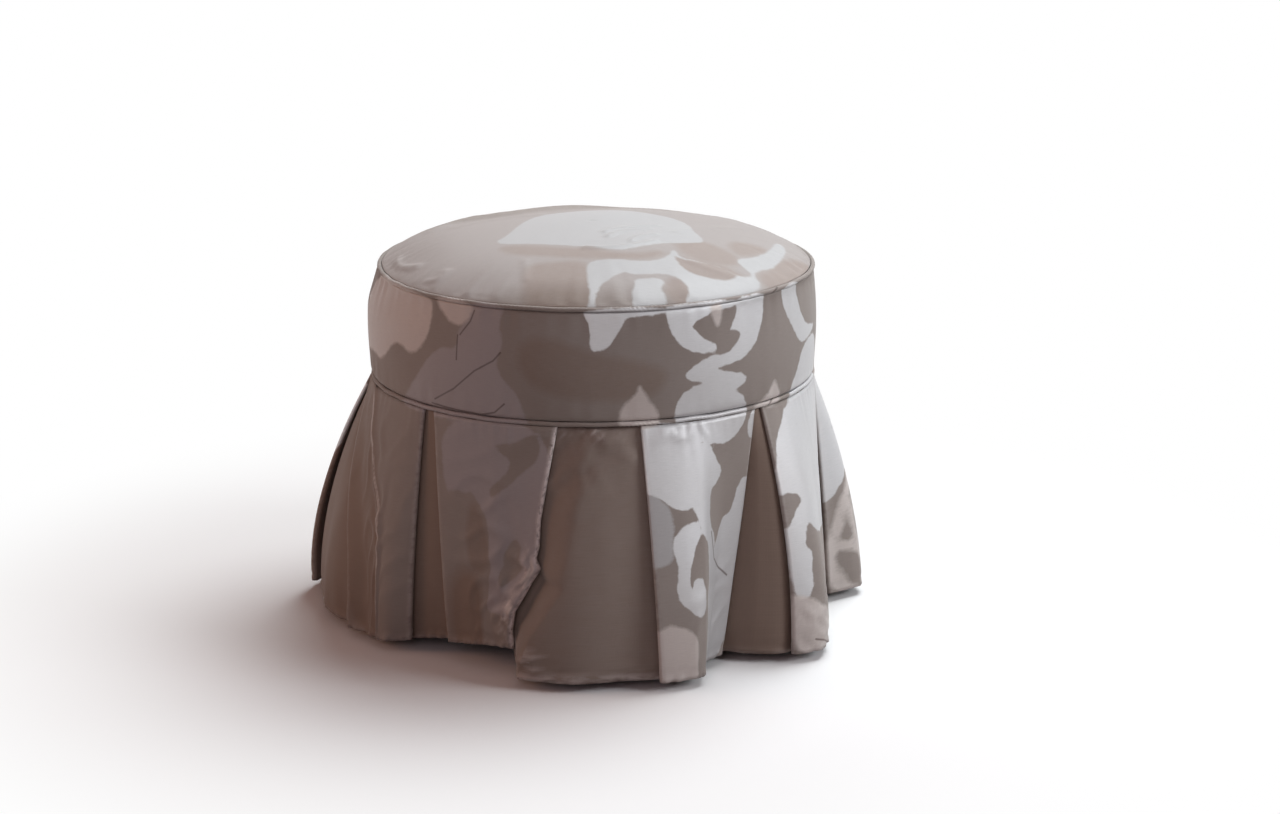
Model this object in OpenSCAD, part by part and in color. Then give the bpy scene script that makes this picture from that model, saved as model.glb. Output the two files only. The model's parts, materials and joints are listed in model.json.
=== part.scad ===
// Round upholstered footstool with a crowned seat, a piped side band and a floor length skirt
// in inverted box pleats, built over a plywood and hardboard drum on four turned legs.
// Millimetres, +Z up, origin on the floor under the middle of the stool, front towards -Y.

/* [Overall] */
// Diameter of the drum at the skirt seam, over the skirt heading
drum_d = 480; // [440:2:540]
// How far the top seam is drawn in from the drum's radius
top_draw = 3.5; // [2:0.5:8]
// How far the side band swells between its two seams
band_swell = 3.5; // [1:0.5:7]
// Height of the side band between the two seams
band_h = 117; // [95:1:150]
// Rise of the crown above the top seam
crown_rise = 43.5; // [34:0.5:56]
// Drop from the skirt seam to the hem
skirt_drop = 259; // [200:1:300]
// Clearance between the hem and the floor
hem_clear = 10; // [6:1:25]

/* [Skirt] */
// Where the front pleat stands, turned from the front of the stool, in degrees
pleat_turn = 1.3; // [-5:0.1:5]
// How far the fullest fold of the hem stands out from the drum
hem_flare = 72; // [45:1:90]
// How far each fold of a pleat opens on the way down to the hem
fold_open = 2.5; // [1:0.5:5]
// Thickness of the face cloth
cloth_t = 1; // [0.6:0.1:1.2]
// Thickness of the lining cloth
lining_t = 0.6; // [0.4:0.1:0.8]
// How far the lining stops short of the hem
lining_short = 12; // [6:1:30]

/* [Welts] */
// Diameter of the covered welt at both seams
welt_d = 4.8; // [4:0.2:6]
// Diameter of the piping cord inside the welt
welt_core_d = 2.8; // [2:0.1:3.2]
// Height of the welt's flange and of the seam turnings
seam_turning = 12; // [8:1:15]

/* [Padding] */
// Height of the top seam above the drum's frame
seat_rim = 36; // [28:1:45]
// Thickness of the wadding over the seat foam
wadding_t = 6; // [4:0.5:10]
// Thickness of the hessian over the webbing
hessian_t = 1; // [0.6:0.1:1.5]

/* [Webbing] */
// Width of a webbing strap
strap_w = 50; // [38:1:56]
// Thickness of a webbing strap
strap_t = 1.6; // [1:0.1:2]
// Distance between the middles of neighbouring straps
strap_pitch = 85; // [78:1:88]
// Length of the end folded back on each strap
strap_fold = 24; // [15:1:26]

/* [Frame] */
// Thickness of the two plywood rings
ring_t = 18; // [15:1:21]
// Width of the two plywood rings
ring_w = 75; // [68:1:80]
// How far the frame reaches below the skirt seam
frame_lap = 30; // [26:1:40]
// Thickness of the bent hardboard wall
wall_t = 3; // [2.5:0.1:4]
// Width of a post, along the rim
post_w = 40; // [30:1:50]
// Depth of a post, from the wall inwards
post_depth = 34; // [26:1:40]

/* [Legs] */
// Diameter at the top of a leg
leg_top_d = 42; // [36:1:48]
// Diameter at the foot of a leg
leg_foot_d = 26; // [22:1:30]
// Distance from the frame's rim in to a leg's axis
leg_inset = 37.8; // [34:0.2:42]
// Diameter of a glide
glide_d = 24; // [20:1:26]
// Height of a glide
glide_h = 6; // [4:0.5:9]

/* [Fasteners] */
// Diameter of a leg's hanger bolt
bolt_d = 8; // [6:1:8]
// Length of a hanger bolt inside the leg
bolt_grip = 36; // [25:1:45]
// Diameter of the tee nut's flange
tee_flange_d = 22; // [18:1:24]
// Diameter of the tee nut's barrel
tee_barrel_d = 10.4; // [10:0.2:12]
// Diameter of a frame screw
screw_d = 4.5; // [3.5:0.5:5]
// Length of a frame screw
screw_len = 45; // [35:1:48]

/* [Hidden] */
$fn = 96;

// Clearances and the overrun of cuts
gap = 0.3;
fold_gap = 0.5;
bore_gap = 0.1;
cut = 1;

// Heights of the seams and of the frame
skirt_seam_z = hem_clear + skirt_drop;
top_seam_z = skirt_seam_z + band_h;
frame_top_z = top_seam_z - seat_rim;
frame_low_z = skirt_seam_z - frame_lap;
frame_h = frame_top_z - frame_low_z;

// Layers of the skirt heading, counted inwards from the drum's radius
pleats = 8;
pleat_deg = 360 / pleats;
fold_deg = 7.5;
drum_r = drum_d / 2;
chord_slack = drum_r * (1 - cos(fold_deg / 2));
face_r = drum_r - cloth_t / 2;
lining_off = cloth_t / 2 + gap + lining_t / 2;
lip_fold = 2 * lining_off + lining_t + fold_gap;
back_fold = cloth_t + fold_gap;
return_r = face_r - lip_fold;
under_r = return_r - back_fold;
heading_r = under_r - lining_off - lining_t / 2 - chord_slack;

// Layers between the heading and the frame, counted inwards
strip_t = 1.5;
strip_r = heading_r - gap;
flange_r = strip_r - strip_t - gap - cloth_t / 2;
tail_r = flange_r - cloth_t - gap;
wall_r = tail_r - cloth_t / 2 - gap;
ring_r = wall_r - wall_t - gap;
ring_hole_r = ring_r - ring_w;

// Seam turnings behind the top seam, counted inwards
seam_r = drum_r - top_draw;
turning_r = [for (i = [0:3]) seam_r - cloth_t / 2 - i * (cloth_t + gap)];
turning_low_z = top_seam_z - seam_turning;
rim_r = turning_r[3] - cloth_t / 2 - gap;

// Welts, each at its seam
welt_r = welt_d / 2;
top_welt_at = [seam_r + 0.1 * welt_d, top_seam_z + 0.1 * welt_d];
skirt_welt_at = [drum_r - 0.3 * welt_d, skirt_seam_z];
skirt_top_z = skirt_welt_at[1] - welt_r - gap;

// The crown: a shallow dome on a soft shoulder
crown_edge_r = turning_r[2] + cloth_t / 2;
crown_edge_z = top_seam_z + welt_r;
dome_share = 0.47;
shoulder_power = 4.4;
shoulder_share = 0.8;

function crown_z(r) =
    let (
        u = min(r / crown_edge_r, 1),
        h = top_seam_z + crown_rise - crown_edge_z
    )
    crown_edge_z + h * (dome_share * (1 - u * u)
        + (1 - dome_share) * pow(1 - pow(u, shoulder_power), shoulder_share));

crown_steps = 18;
function crown_line(end_r, drop) = [
    for (i = [0:crown_steps])
        let (r = end_r * sin(90 * i / crown_steps)) [r, crown_z(r) - drop]
];

// The side band: a straight line between the seams, with a swell
band_steps = 10;
ledge_h = 0.85 * welt_d;
function band_r(z) =
    let (u = (z - skirt_seam_z) / band_h)
    drum_r - top_draw * u + band_swell * sin(180 * min(max(u, 0), 1));
function band_line(low_z, high_z, inset) = [
    for (i = [0:band_steps])
        let (z = low_z + (high_z - low_z) * i / band_steps) [band_r(z) - inset, z]
];

// Strips of cloth as outlines: a path with a thickness, mitred at its corners
function unit(v) = v / norm(v);
function turned(v) = [-v[1], v[0]];
function mitre(p, i, closed) =
    let (
        n = len(p),
        before = closed || i > 0 ? unit(p[i] - p[(i + n - 1) % n]) : unit(p[1] - p[0]),
        after = closed || i < n - 1 ? unit(p[(i + 1) % n] - p[i]) : before,
        m = turned(unit(before + after))
    )
    m / (m * turned(before));
function beside(p, off, closed = false) =
    [for (i = [0:len(p) - 1]) p[i] + off * mitre(p, i, closed)];
function backwards(p) = [for (i = [len(p) - 1:-1:0]) p[i]];
function strip(p, t) = concat(beside(p, t / 2), backwards(beside(p, -t / 2)));

module ring_of(outline) rotate_extrude() polygon(outline);
module tube(outer_r, inner_r, low_z, high_z)
    translate([0, 0, low_z]) difference() {
        cylinder(r = outer_r, h = high_z - low_z);
        translate([0, 0, -cut]) cylinder(r = inner_r, h = high_z - low_z + 2 * cut);
    }
module around(count, first_deg) for (i = [0:count - 1]) rotate(first_deg + i * 360 / count) children();

// Legs, with their glides and bolts
legs = 4;
leg_first_deg = 45;
leg_circle_r = ring_r - leg_inset;
leg_low_z = glide_h;
leg_h = frame_low_z - leg_low_z;
leg_block_h = 0.14 * leg_h;
leg_ring_h = 0.03 * leg_h;
foot_chamfer = 2;
nail_d = 3;
nail_len = 18;
nail_head_d = 8;
nail_head_h = 1.5;
tee_flange_t = 1.5;
tee_barrel_h = 0.65 * ring_t;
bolt_top_z = frame_low_z + ring_t + tee_flange_t + bolt_d / 2;

module at_leg(i) rotate(leg_first_deg + (i - 1) * 360 / legs) translate([leg_circle_r, 0, 0]) children();

module leg(i) {
    foot_r = leg_foot_d / 2;
    top_r = leg_top_d / 2;
    neck_r = 0.88 * top_r;
    color("#8a6a4a") at_leg(i) translate([0, 0, leg_low_z]) difference() {
        ring_of([
            [0, 0], [foot_r - foot_chamfer, 0], [foot_r, foot_chamfer],
            [neck_r, leg_h - leg_block_h - 2 * leg_ring_h],
            [top_r, leg_h - leg_block_h - leg_ring_h],
            [neck_r, leg_h - leg_block_h],
            [top_r, leg_h - leg_block_h + leg_ring_h],
            [top_r, leg_h], [0, leg_h]
        ]);
        translate([0, 0, leg_h - bolt_grip - bolt_d / 2])
            cylinder(d = bolt_d + 2 * bore_gap, h = bolt_grip + bolt_d / 2 + cut);
        translate([0, 0, -cut]) cylinder(d = nail_d + 2 * bore_gap, h = nail_len + cut);
    }
}

module glide(i) color("#3a3936") at_leg(i) difference() {
    ring_of([
        [0, 0], [glide_d / 2 - glide_h / 3, 0], [glide_d / 2, glide_h / 3],
        [glide_d / 2, glide_h], [0, glide_h]
    ]);
    translate([0, 0, -cut]) cylinder(d = nail_d + 2 * bore_gap, h = glide_h + 2 * cut);
    translate([0, 0, -cut]) cylinder(d = nail_head_d + 2 * bore_gap, h = glide_h / 2 + cut);
}

module glide_nails() color("#a8a8a8") for (i = [1:legs]) at_leg(i) translate([0, 0, glide_h / 2]) {
    translate([0, 0, -nail_head_h]) cylinder(d = nail_head_d, h = nail_head_h);
    cylinder(d = nail_d, h = glide_h / 2 + nail_len - nail_d / 2);
}

module hanger_bolts() color("#b5b3ac") for (i = [1:legs]) at_leg(i)
    translate([0, 0, frame_low_z - bolt_grip]) cylinder(d = bolt_d, h = bolt_top_z - frame_low_z + bolt_grip);

module tee_nuts() color("#c3b98f") for (i = [1:legs]) at_leg(i)
    translate([0, 0, frame_low_z + ring_t]) difference() {
        union() {
            cylinder(d = tee_flange_d, h = tee_flange_t);
            translate([0, 0, -tee_barrel_h]) cylinder(d = tee_barrel_d, h = tee_barrel_h + tee_flange_t);
        }
        translate([0, 0, -tee_barrel_h - cut])
            cylinder(d = bolt_d + 2 * bore_gap, h = tee_barrel_h + tee_flange_t + 2 * cut);
    }

// Frame: two plywood rings held apart by posts
posts = 8;
post_first_deg = 22.5;
post_screw_r = ring_r - post_depth / 2;
screw_head_d = 2 * screw_d;
screw_head_h = screw_d / 2;

module at_post(i) rotate(post_first_deg + (i - 1) * 360 / posts) children();

module screw_hole() {
    translate([0, 0, -cut]) cylinder(d = screw_d + 2 * bore_gap, h = ring_t + 2 * cut);
    translate([0, 0, ring_t - screw_head_h]) cylinder(d1 = screw_d + 2 * bore_gap,
        d2 = screw_head_d + 2 * bore_gap, h = screw_head_h);
}

module bottom_ring() color("#c2a878") translate([0, 0, frame_low_z]) difference() {
    tube(ring_r, ring_hole_r, 0, ring_t);
    for (i = [1:legs]) at_leg(i) translate([0, 0, -cut])
        cylinder(d = tee_barrel_d + 2 * bore_gap, h = ring_t + 2 * cut);
    for (i = [1:posts]) at_post(i) translate([post_screw_r, 0, ring_t]) mirror([0, 0, 1]) screw_hole();
}

module top_ring() color("#c9b083") translate([0, 0, frame_top_z - ring_t]) difference() {
    tube(ring_r, ring_hole_r, 0, ring_t);
    for (i = [1:posts]) at_post(i) translate([post_screw_r, 0, 0]) screw_hole();
}

module post(i) {
    h = frame_h - 2 * ring_t;
    pilot = screw_len - ring_t + screw_d / 2;
    color("#b48f60") at_post(i) translate([0, 0, frame_low_z + ring_t]) difference() {
        intersection() {
            cylinder(r = ring_r, h = h);
            translate([ring_r - post_depth, -post_w / 2, 0]) cube([post_depth, post_w, h]);
        }
        for (z = [-cut, h - pilot]) translate([post_screw_r, 0, z])
            cylinder(d = screw_d + 2 * bore_gap, h = pilot + cut);
    }
}

module frame_screw() {
    cylinder(d = screw_d, h = screw_len);
    cylinder(d1 = screw_head_d, d2 = screw_d, h = screw_head_h);
}

module frame_screws() color("#9c9a92") for (i = [1:posts]) at_post(i) translate([post_screw_r, 0, 0]) {
    translate([0, 0, frame_low_z]) frame_screw();
    translate([0, 0, frame_top_z]) mirror([0, 0, 1]) frame_screw();
}

// The wall is bent round the rings and butts at the middle of a post
wall_joint = 1;
joint_deg = post_first_deg + 180;

module drum_wall() color("#7d5f43") difference() {
    tube(wall_r, wall_r - wall_t, frame_low_z, frame_top_z);
    rotate(joint_deg) translate([ring_r, -wall_joint / 2, frame_low_z - cut])
        cube([2 * wall_t, wall_joint, frame_h + 2 * cut]);
}

dust_t = 0.6;
module dust_cover() color("#26262a") translate([0, 0, frame_low_z - gap - dust_t]) difference() {
    cylinder(r = ring_r - 2 * wall_t, h = dust_t);
    for (i = [1:legs]) at_leg(i) translate([0, 0, -cut]) cylinder(d = leg_top_d + 2 * cut, h = dust_t + 2 * cut);
}

// Webbing woven over and under, with both ends folded back on the top ring
straps = 3;
strap_end_r = ring_r - 3 * wall_t;
weave_h = strap_t + gap;
crossing = strap_w / 2 + gap;
ramp = strap_pitch - 2 * crossing;

function strap_off(i) = (i - (straps + 1) / 2) * strap_pitch;
function strap_half(i) = sqrt(pow(strap_end_r, 2) - pow(abs(strap_off(i)) + strap_w / 2, 2));
function over(i, j, first) = (i + j) % 2 == first ? weave_h : 0;

// Path of strap i from its folded end, over and under the straps that cross it, to the other end
function strap_path(i, first) =
    let (
        half = strap_half(i),
        low = strap_t / 2,
        high = low + weave_h,
        far = strap_off(straps) + crossing,
        foot = far + min(ramp, (half - far) / 2)
    )
    concat(
        [[strap_fold - half, high], [strap_t / 2 - half, high], [strap_t / 2 - half, low], [-foot, low]],
        [for (j = [1:straps], side = [-1, 1])
            [strap_off(j) + side * crossing, low + over(i, j, first)]],
        [[foot, low], [half - strap_t / 2, low], [half - strap_t / 2, high], [half - strap_fold, high]]
    );

module strap(i, first) color("#a8895c")
    translate([0, strap_off(i) + strap_w / 2, frame_top_z]) rotate([90, 0, 0])
        linear_extrude(strap_w) polygon(strip(strap_path(i, first), strap_t));

module webbing(i) {
    if (i <= straps) strap(i, 0);
    else rotate(90) strap(i - straps, 1);
}

// Deck, foam, wadding and side padding
deck_z = frame_top_z + strap_t + weave_h + gap;
foam_low_z = deck_z + hessian_t + gap;
pad_top_z = top_seam_z - welt_d / 2;
cover_drop = cloth_t + gap;
foam_drop = cover_drop + wadding_t + gap;

module hessian_deck() color("#b79c6c") translate([0, 0, deck_z])
    cylinder(r = strap_end_r + wall_t, h = hessian_t);

module seat_foam() color("#e8dfb0") ring_of(concat(
    crown_line(wall_r - wadding_t / 2, foam_drop),
    [[wall_r, crown_z(wall_r) - foam_drop - wadding_t / 2], [wall_r, foam_low_z], [0, foam_low_z]]
));

module seat_wadding() color("#f2f0ea") ring_of(concat(
    crown_line(rim_r, cover_drop),
    [[rim_r, pad_top_z + gap], [wall_r + gap, pad_top_z + gap],
        [wall_r + gap, crown_z(wall_r) - foam_drop - wadding_t / 2 + gap]],
    backwards(crown_line(wall_r - wadding_t / 2, foam_drop - gap))
));

module side_padding() {
    low_z = skirt_seam_z + ledge_h + cover_drop;
    neck_z = turning_low_z - gap;
    color("#ece7d8") ring_of(concat(
        [[wall_r + gap, skirt_seam_z + cover_drop]],
        band_line(low_z, neck_z - cloth_t, cover_drop),
        [[rim_r, neck_z], [rim_r, pad_top_z], [wall_r + gap, pad_top_z]]
    ));
}

// Covers. The band's cloth runs down behind the skirt, and is tacked to the wall there
tail_low_z = frame_low_z + frame_lap / 4;

module side_cover() {
    fold_z = top_welt_at[1] - welt_r - gap - cloth_t / 2;
    color("#9c928c") ring_of(strip(concat(
        [[tail_r, tail_low_z], [tail_r, skirt_seam_z]],
        band_line(skirt_seam_z + ledge_h, fold_z - cloth_t, cloth_t / 2),
        [[turning_r[0], fold_z], [turning_r[1], fold_z], [turning_r[1], turning_low_z]]
    ), cloth_t));
}

module top_cover() {
    edge_z = crown_edge_z - cloth_t / 2;
    color("#b4b0ac") ring_of(concat(
        crown_line(crown_edge_r, 0),
        [[crown_edge_r, crown_edge_z - cloth_t], [turning_r[3] + cloth_t / 2, edge_z - 2 * cloth_t],
            [turning_r[3] + cloth_t / 2, turning_low_z], [turning_r[3] - cloth_t / 2, turning_low_z],
            [turning_r[3] - cloth_t / 2, edge_z - cloth_t]],
        backwards(crown_line(turning_r[3], cloth_t))
    ));
}

// A welt is a strip of cloth that goes up as a flange in the seam and wraps round a cord
welt_steps = 20;
welt_slit_deg = 25;
sleeve_t = welt_r - welt_core_d / 2 - bore_gap;

module welt_sleeve(at, flange_path) {
    wrap_r = welt_r - sleeve_t / 2;
    wrap = [
        for (i = [0:welt_steps])
            let (deg = 180 - i * (360 - welt_slit_deg) / welt_steps) at + wrap_r * [cos(deg), sin(deg)]
    ];
    color("#b9b6b2") ring_of(strip(concat(flange_path, wrap), sleeve_t));
}
module welt_core(at) color("#efece2") rotate_extrude() translate(at) circle(d = welt_core_d, $fn = 32);

module top_welt() welt_sleeve(top_welt_at,
    [[turning_r[2], turning_low_z], [turning_r[2], top_welt_at[1] - welt_r / 2]]);
module top_welt_cord() welt_core(top_welt_at);
module skirt_welt() welt_sleeve(skirt_welt_at,
    [[flange_r, skirt_seam_z - seam_turning], [flange_r, skirt_top_z],
        [flange_r + cloth_t, skirt_seam_z - welt_r / 3]]);
module skirt_welt_cord() welt_core(skirt_welt_at);

module tack_strip() color("#cdbb96")
    tube(strip_r, strip_r - strip_t, skirt_seam_z - seam_turning, skirt_top_z - gap);

// The skirt. Each row of the first table is one pleat, from the front one anticlockwise seen from
// above, and gives how far its left lip, left back fold, right lip and right back fold stand from
// the pleat's middle, as shares of the pleat spacing, first at the heading and then at the hem
lip_heading_shares = [
    [0.20, 0.36, 0.25, 0.41], [0.03, 0.19, 0.03, 0.19], [0.03, 0.19, 0.03, 0.19], [0.03, 0.19, 0.04, 0.20],
    [0.04, 0.20, 0.03, 0.19], [0.03, 0.19, 0.03, 0.19], [0.03, 0.19, 0.03, 0.19], [0.05, 0.21, 0.04, 0.20]
];
lip_hem_shares = [
    [0.44, 0.58, 0.29, 0.45], [0.25, 0.39, 0.01, 0.16], [0.10, 0.26, -0.06, 0.09], [0.14, 0.30, 0.12, 0.28],
    [0.13, 0.29, 0.15, 0.31], [0.14, 0.30, 0.12, 0.28], [0.18, 0.32, 0.50, 0.64], [0.12, 0.26, 0.12, 0.28]
];
// Where the middle of the underlay stands at the hem, from its left lip to its right one
mid_hem_shares = [0.11, 0.5, 0.5, 0.5, 0.5, 0.5, 0.5, 0.5];
// How far the hem stands out there, as shares of the flare: belly of the panel on the left, panel
// over the left back fold, left lip, left back fold, underlay at the left lip, in the middle and at
// the right lip, right back fold, right lip, panel over the right back fold, belly on the right
hem_out_shares = [
    [0.00, 0.01, 0.16, 0.03, 0.17, 0.72, 0.69, 0.61, 0.72, 0.68, 0.59],
    [0.31, 0.10, 0.03, 0.06, 0.04, 0.45, 0.71, 0.70, 0.73, 0.85, 0.56],
    [0.35, 0.19, 0.16, 0.13, 0.13, 0.34, 0.66, 0.70, 0.72, 0.86, 0.63],
    [0.48, 0.41, 0.54, 0.38, 0.49, 0.52, 0.44, 0.32, 0.49, 0.37, 0.25],
    [0.29, 0.44, 0.63, 0.43, 0.57, 0.62, 0.57, 0.47, 0.64, 0.53, 0.37],
    [0.26, 0.37, 0.53, 0.35, 0.46, 0.50, 0.47, 0.41, 0.57, 0.49, 0.62],
    [0.78, 0.90, 0.98, 0.86, 0.94, 0.90, 0.67, 0.46, 0.67, 0.49, 0.48],
    [0.47, 0.46, 0.20, 0.34, 0.17, 0.10, 0.04, 0.01, 0.06, 0.02, 0.00]
];
belly_shares = [0.36, 0.64];
flare_power = 1.8;

function polar(deg, r) = [r * sin(deg), -r * cos(deg)];
function blend(a, b, t) = a + (b - a) * t;

// One pleat of the skirt's path at drop t: angle from the pleat's middle and radius of each point
function pleat_points(k, t) =
    let (
        grow = 1 - pow(1 - t, flare_power),
        next = lip_heading_shares[(k + 1) % pleats],
        next_hem = lip_hem_shares[(k + 1) % pleats],
        last = lip_heading_shares[(k + pleats - 1) % pleats],
        last_hem = lip_hem_shares[(k + pleats - 1) % pleats],
        at = [for (j = [0:3]) pleat_deg * blend(lip_heading_shares[k][j], lip_hem_shares[k][j], t)],
        next_lip = pleat_deg * (1 - blend(next[1], next_hem[1], t)),
        last_lip = pleat_deg * (1 - blend(last[3], last_hem[3], t)),
        mid = blend(0.5, mid_hem_shares[k], t),
        out = hem_flare * grow * hem_out_shares[k],
        back_r = return_r - fold_open * t,
        deep_r = under_r - 2 * fold_open * t,
        deg = [
            -blend(last_lip, at[1], belly_shares[1]), -at[1], -at[0], -at[0], -at[1],
            -at[1], -at[0], blend(-at[0], at[2], mid), at[2], at[3],
            at[3], at[2], at[2], at[3], blend(at[3], next_lip, belly_shares[0])
        ],
        r = [
            face_r + out[0], face_r + out[1], face_r + out[2], back_r + out[2], back_r + out[3],
            deep_r + out[3], deep_r + out[4], deep_r + out[5], deep_r + out[6], deep_r + out[7],
            back_r + out[7], back_r + out[8], face_r + out[8], face_r + out[9], face_r + out[10]
        ]
    )
    [for (i = [0:len(deg) - 1]) polar(pleat_turn + k * pleat_deg + deg[i], r[i])];

function skirt_path(t) = [for (k = [0:pleats - 1]) each pleat_points(k, t)];

// Both cloths have their rows of points at the same heights, and the lining stops a row early
row_shares = [0, 0.28, 0.62];
row_heights = concat([for (t = row_shares) blend(skirt_top_z, hem_clear, t)],
    [hem_clear + lining_short, hem_clear]);
row_paths = [for (z = row_heights) skirt_path((skirt_top_z - z) / (skirt_top_z - hem_clear))];

// The returns run back under the panels, so their triangles are cut the other way
pleat_size = len(pleat_points(0, 0));
function is_return(i) = i % pleat_size == 3 || i % pleat_size == 10;

// A cloth of thickness t, carried beside the path by off, down to the row named last
module pleated_cloth(off, t, last) {
    layers = [
        for (row = [0:last], side = [-1, 1])
            [for (q = beside(row_paths[row], off + side * t / 2, true)) [q[0], q[1], row_heights[row]]]
    ];
    n = len(layers[0]);
    function id(row, side, i) = (row * 2 + side) * n + i % n;
    function quad(a, b, c, d, flip) = flip ? [[a, b, d], [b, c, d]] : [[a, b, c], [a, c, d]];
    polyhedron(
        points = [for (layer = layers) each layer],
        faces = [
            for (i = [0:n - 1]) each concat(
                [for (row = [0:last - 1]) each concat(
                    quad(id(row, 0, i), id(row, 0, i + 1), id(row + 1, 0, i + 1), id(row + 1, 0, i),
                        is_return(i)),
                    quad(id(row, 1, i + 1), id(row, 1, i), id(row + 1, 1, i), id(row + 1, 1, i + 1),
                        !is_return(i))
                )],
                quad(id(0, 1, i), id(0, 1, i + 1), id(0, 0, i + 1), id(0, 0, i), false),
                quad(id(last, 0, i), id(last, 0, i + 1), id(last, 1, i + 1), id(last, 1, i), false)
            )
        ],
        convexity = 10
    );
}

module skirt() color("#a59d97") pleated_cloth(0, cloth_t, len(row_heights) - 1);
module skirt_lining() color("#8d8377") pleated_cloth(lining_off, lining_t, len(row_heights) - 2);

leg(1);  // leg_1
leg(2);  // leg_2
leg(3);  // leg_3
leg(4);  // leg_4
glide(1);  // glide_1
glide(2);  // glide_2
glide(3);  // glide_3
glide(4);  // glide_4
glide_nails();
hanger_bolts();
tee_nuts();
bottom_ring();
top_ring();
post(1);  // post_1
post(2);  // post_2
post(3);  // post_3
post(4);  // post_4
post(5);  // post_5
post(6);  // post_6
post(7);  // post_7
post(8);  // post_8
frame_screws();
drum_wall();
dust_cover();
webbing(1);  // webbing_1
webbing(2);  // webbing_2
webbing(3);  // webbing_3
webbing(4);  // webbing_4
webbing(5);  // webbing_5
webbing(6);  // webbing_6
hessian_deck();
seat_foam();
seat_wadding();
side_padding();
side_cover();
top_cover();
top_welt();
top_welt_cord();
skirt_welt();
skirt_welt_cord();
tack_strip();
skirt();
skirt_lining();
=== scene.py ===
import json
import math

import bpy
import numpy as np
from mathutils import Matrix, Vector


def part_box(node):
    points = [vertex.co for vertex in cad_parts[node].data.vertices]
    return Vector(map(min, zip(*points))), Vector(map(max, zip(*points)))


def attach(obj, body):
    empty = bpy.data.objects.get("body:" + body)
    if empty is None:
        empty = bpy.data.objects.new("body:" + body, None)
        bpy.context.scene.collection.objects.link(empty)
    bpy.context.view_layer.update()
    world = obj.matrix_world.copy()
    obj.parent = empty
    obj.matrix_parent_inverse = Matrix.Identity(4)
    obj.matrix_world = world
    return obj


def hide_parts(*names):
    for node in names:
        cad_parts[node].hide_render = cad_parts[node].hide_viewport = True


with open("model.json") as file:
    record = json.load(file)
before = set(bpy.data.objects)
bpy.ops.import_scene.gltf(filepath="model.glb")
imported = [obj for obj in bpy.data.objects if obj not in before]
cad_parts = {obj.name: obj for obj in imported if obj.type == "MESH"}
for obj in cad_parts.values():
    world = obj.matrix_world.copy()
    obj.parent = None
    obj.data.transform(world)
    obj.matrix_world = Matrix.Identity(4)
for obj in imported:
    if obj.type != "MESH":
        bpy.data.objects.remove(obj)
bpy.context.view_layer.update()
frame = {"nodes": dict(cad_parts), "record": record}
print("frame loaded:", len(frame["nodes"]), "nodes")

mm = 0.001

# Sizes shared by the covers, as the part has them
stool = {
    "drumRadius": 240 * mm,
    "topDraw": 3.5 * mm,
    "bandSwell": 3.5 * mm,
    "skirtSeamZ": 269 * mm,
    "topSeamZ": 386 * mm,
    "crownTopZ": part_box("top_cover")[1][2],
    "cloth": 1 * mm,
    "gap": 0.3 * mm,
    "weltDiameter": 4.8 * mm,
    "coreDiameter": 2.8 * mm,
    "turning": 12 * mm,
}
stool["seamRadius"] = stool["drumRadius"] - stool["topDraw"]
stool["bandHeight"] = stool["topSeamZ"] - stool["skirtSeamZ"]
turningRadius = [
    stool["seamRadius"] - stool["cloth"] / 2 - i * (stool["cloth"] + stool["gap"]) for i in range(4)
]
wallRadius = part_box("drum_wall")[1][0]
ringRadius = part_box("top_ring")[1][0]
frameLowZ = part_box("bottom_ring")[0][2]
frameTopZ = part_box("top_ring")[1][2]


# Camera, floor and light

camera = {
    "place": (51 * mm, -2700 * mm, 947 * mm),
    "pitch": 15,
    "focalPixels": 2550,
    "framePixels": 1280,
    "sensor": 36,
}
studio = {
    "floorSize": 40,
    "floorNear": 0.36,  # from here out the floor fades into plain white, which it is at floorFar
    "floorFar": 0.85,
    "floorColour": (0.95, 0.95, 0.95, 1),
    "floorUnseen": (0.30, 0.27, 0.26, 1),  # what bounced light meets, so that little comes from below
    "floorRough": 0.9,
    "floorGloss": 0.1,
    "worldColour": (1.0, 0.77, 0.76, 1),
    "worldStrength": 0.124,
    "lamps": [
        # name, place, size, power, colour; the first stands above and behind, the warm one at the left
        ("keyLamp", (0.9, 0.9, 2.7), 2.0, 77, (0.93, 0.98, 1.0)),
        ("rightLamp", (2.45, -0.8, 1.4), 1.2, 32, (0.95, 0.97, 1.0)),
        ("frontLamp", (-0.7, -2.6, 1.3), 1.2, 5.5, (1.0, 0.74, 0.79)),
        ("leftLamp", (-2.3, -0.2, 0.9), 1.0, 7, (1.0, 0.46, 0.24)),
    ],
    "aim": (0, 0, 0.25),
}


def addObject(name, data):
    obj = bpy.data.objects.new(name, data)
    bpy.context.scene.collection.objects.link(obj)
    return obj


def addNode(tree, kind, output=0, settings=None, **inputs):
    # Adds a node and gives one of its outputs. The inputs are values or other nodes' outputs:
    # i0, i1 and so on are sockets by number, anything else is a socket's name
    node = tree.nodes.new("ShaderNode" + kind)
    for key, value in (settings or {}).items():
        setattr(node, key, value)
    for key, value in inputs.items():
        numbered = key[0] == "i" and key[1:].isdigit()
        socket = node.inputs[int(key[1:]) if numbered else key.replace("_", " ")]
        if isinstance(value, bpy.types.NodeSocket):
            tree.links.new(value, socket)
        else:
            socket.default_value = value
    return node.outputs[output]


def addCamera():
    data = bpy.data.cameras.new("camera")
    data.sensor_width = camera["sensor"]
    data.lens = camera["focalPixels"] * camera["sensor"] / camera["framePixels"]
    obj = addObject("camera", data)
    obj.location = camera["place"]
    obj.rotation_euler = (math.radians(90 - camera["pitch"]), 0, 0)
    bpy.context.scene.camera = obj


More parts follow.
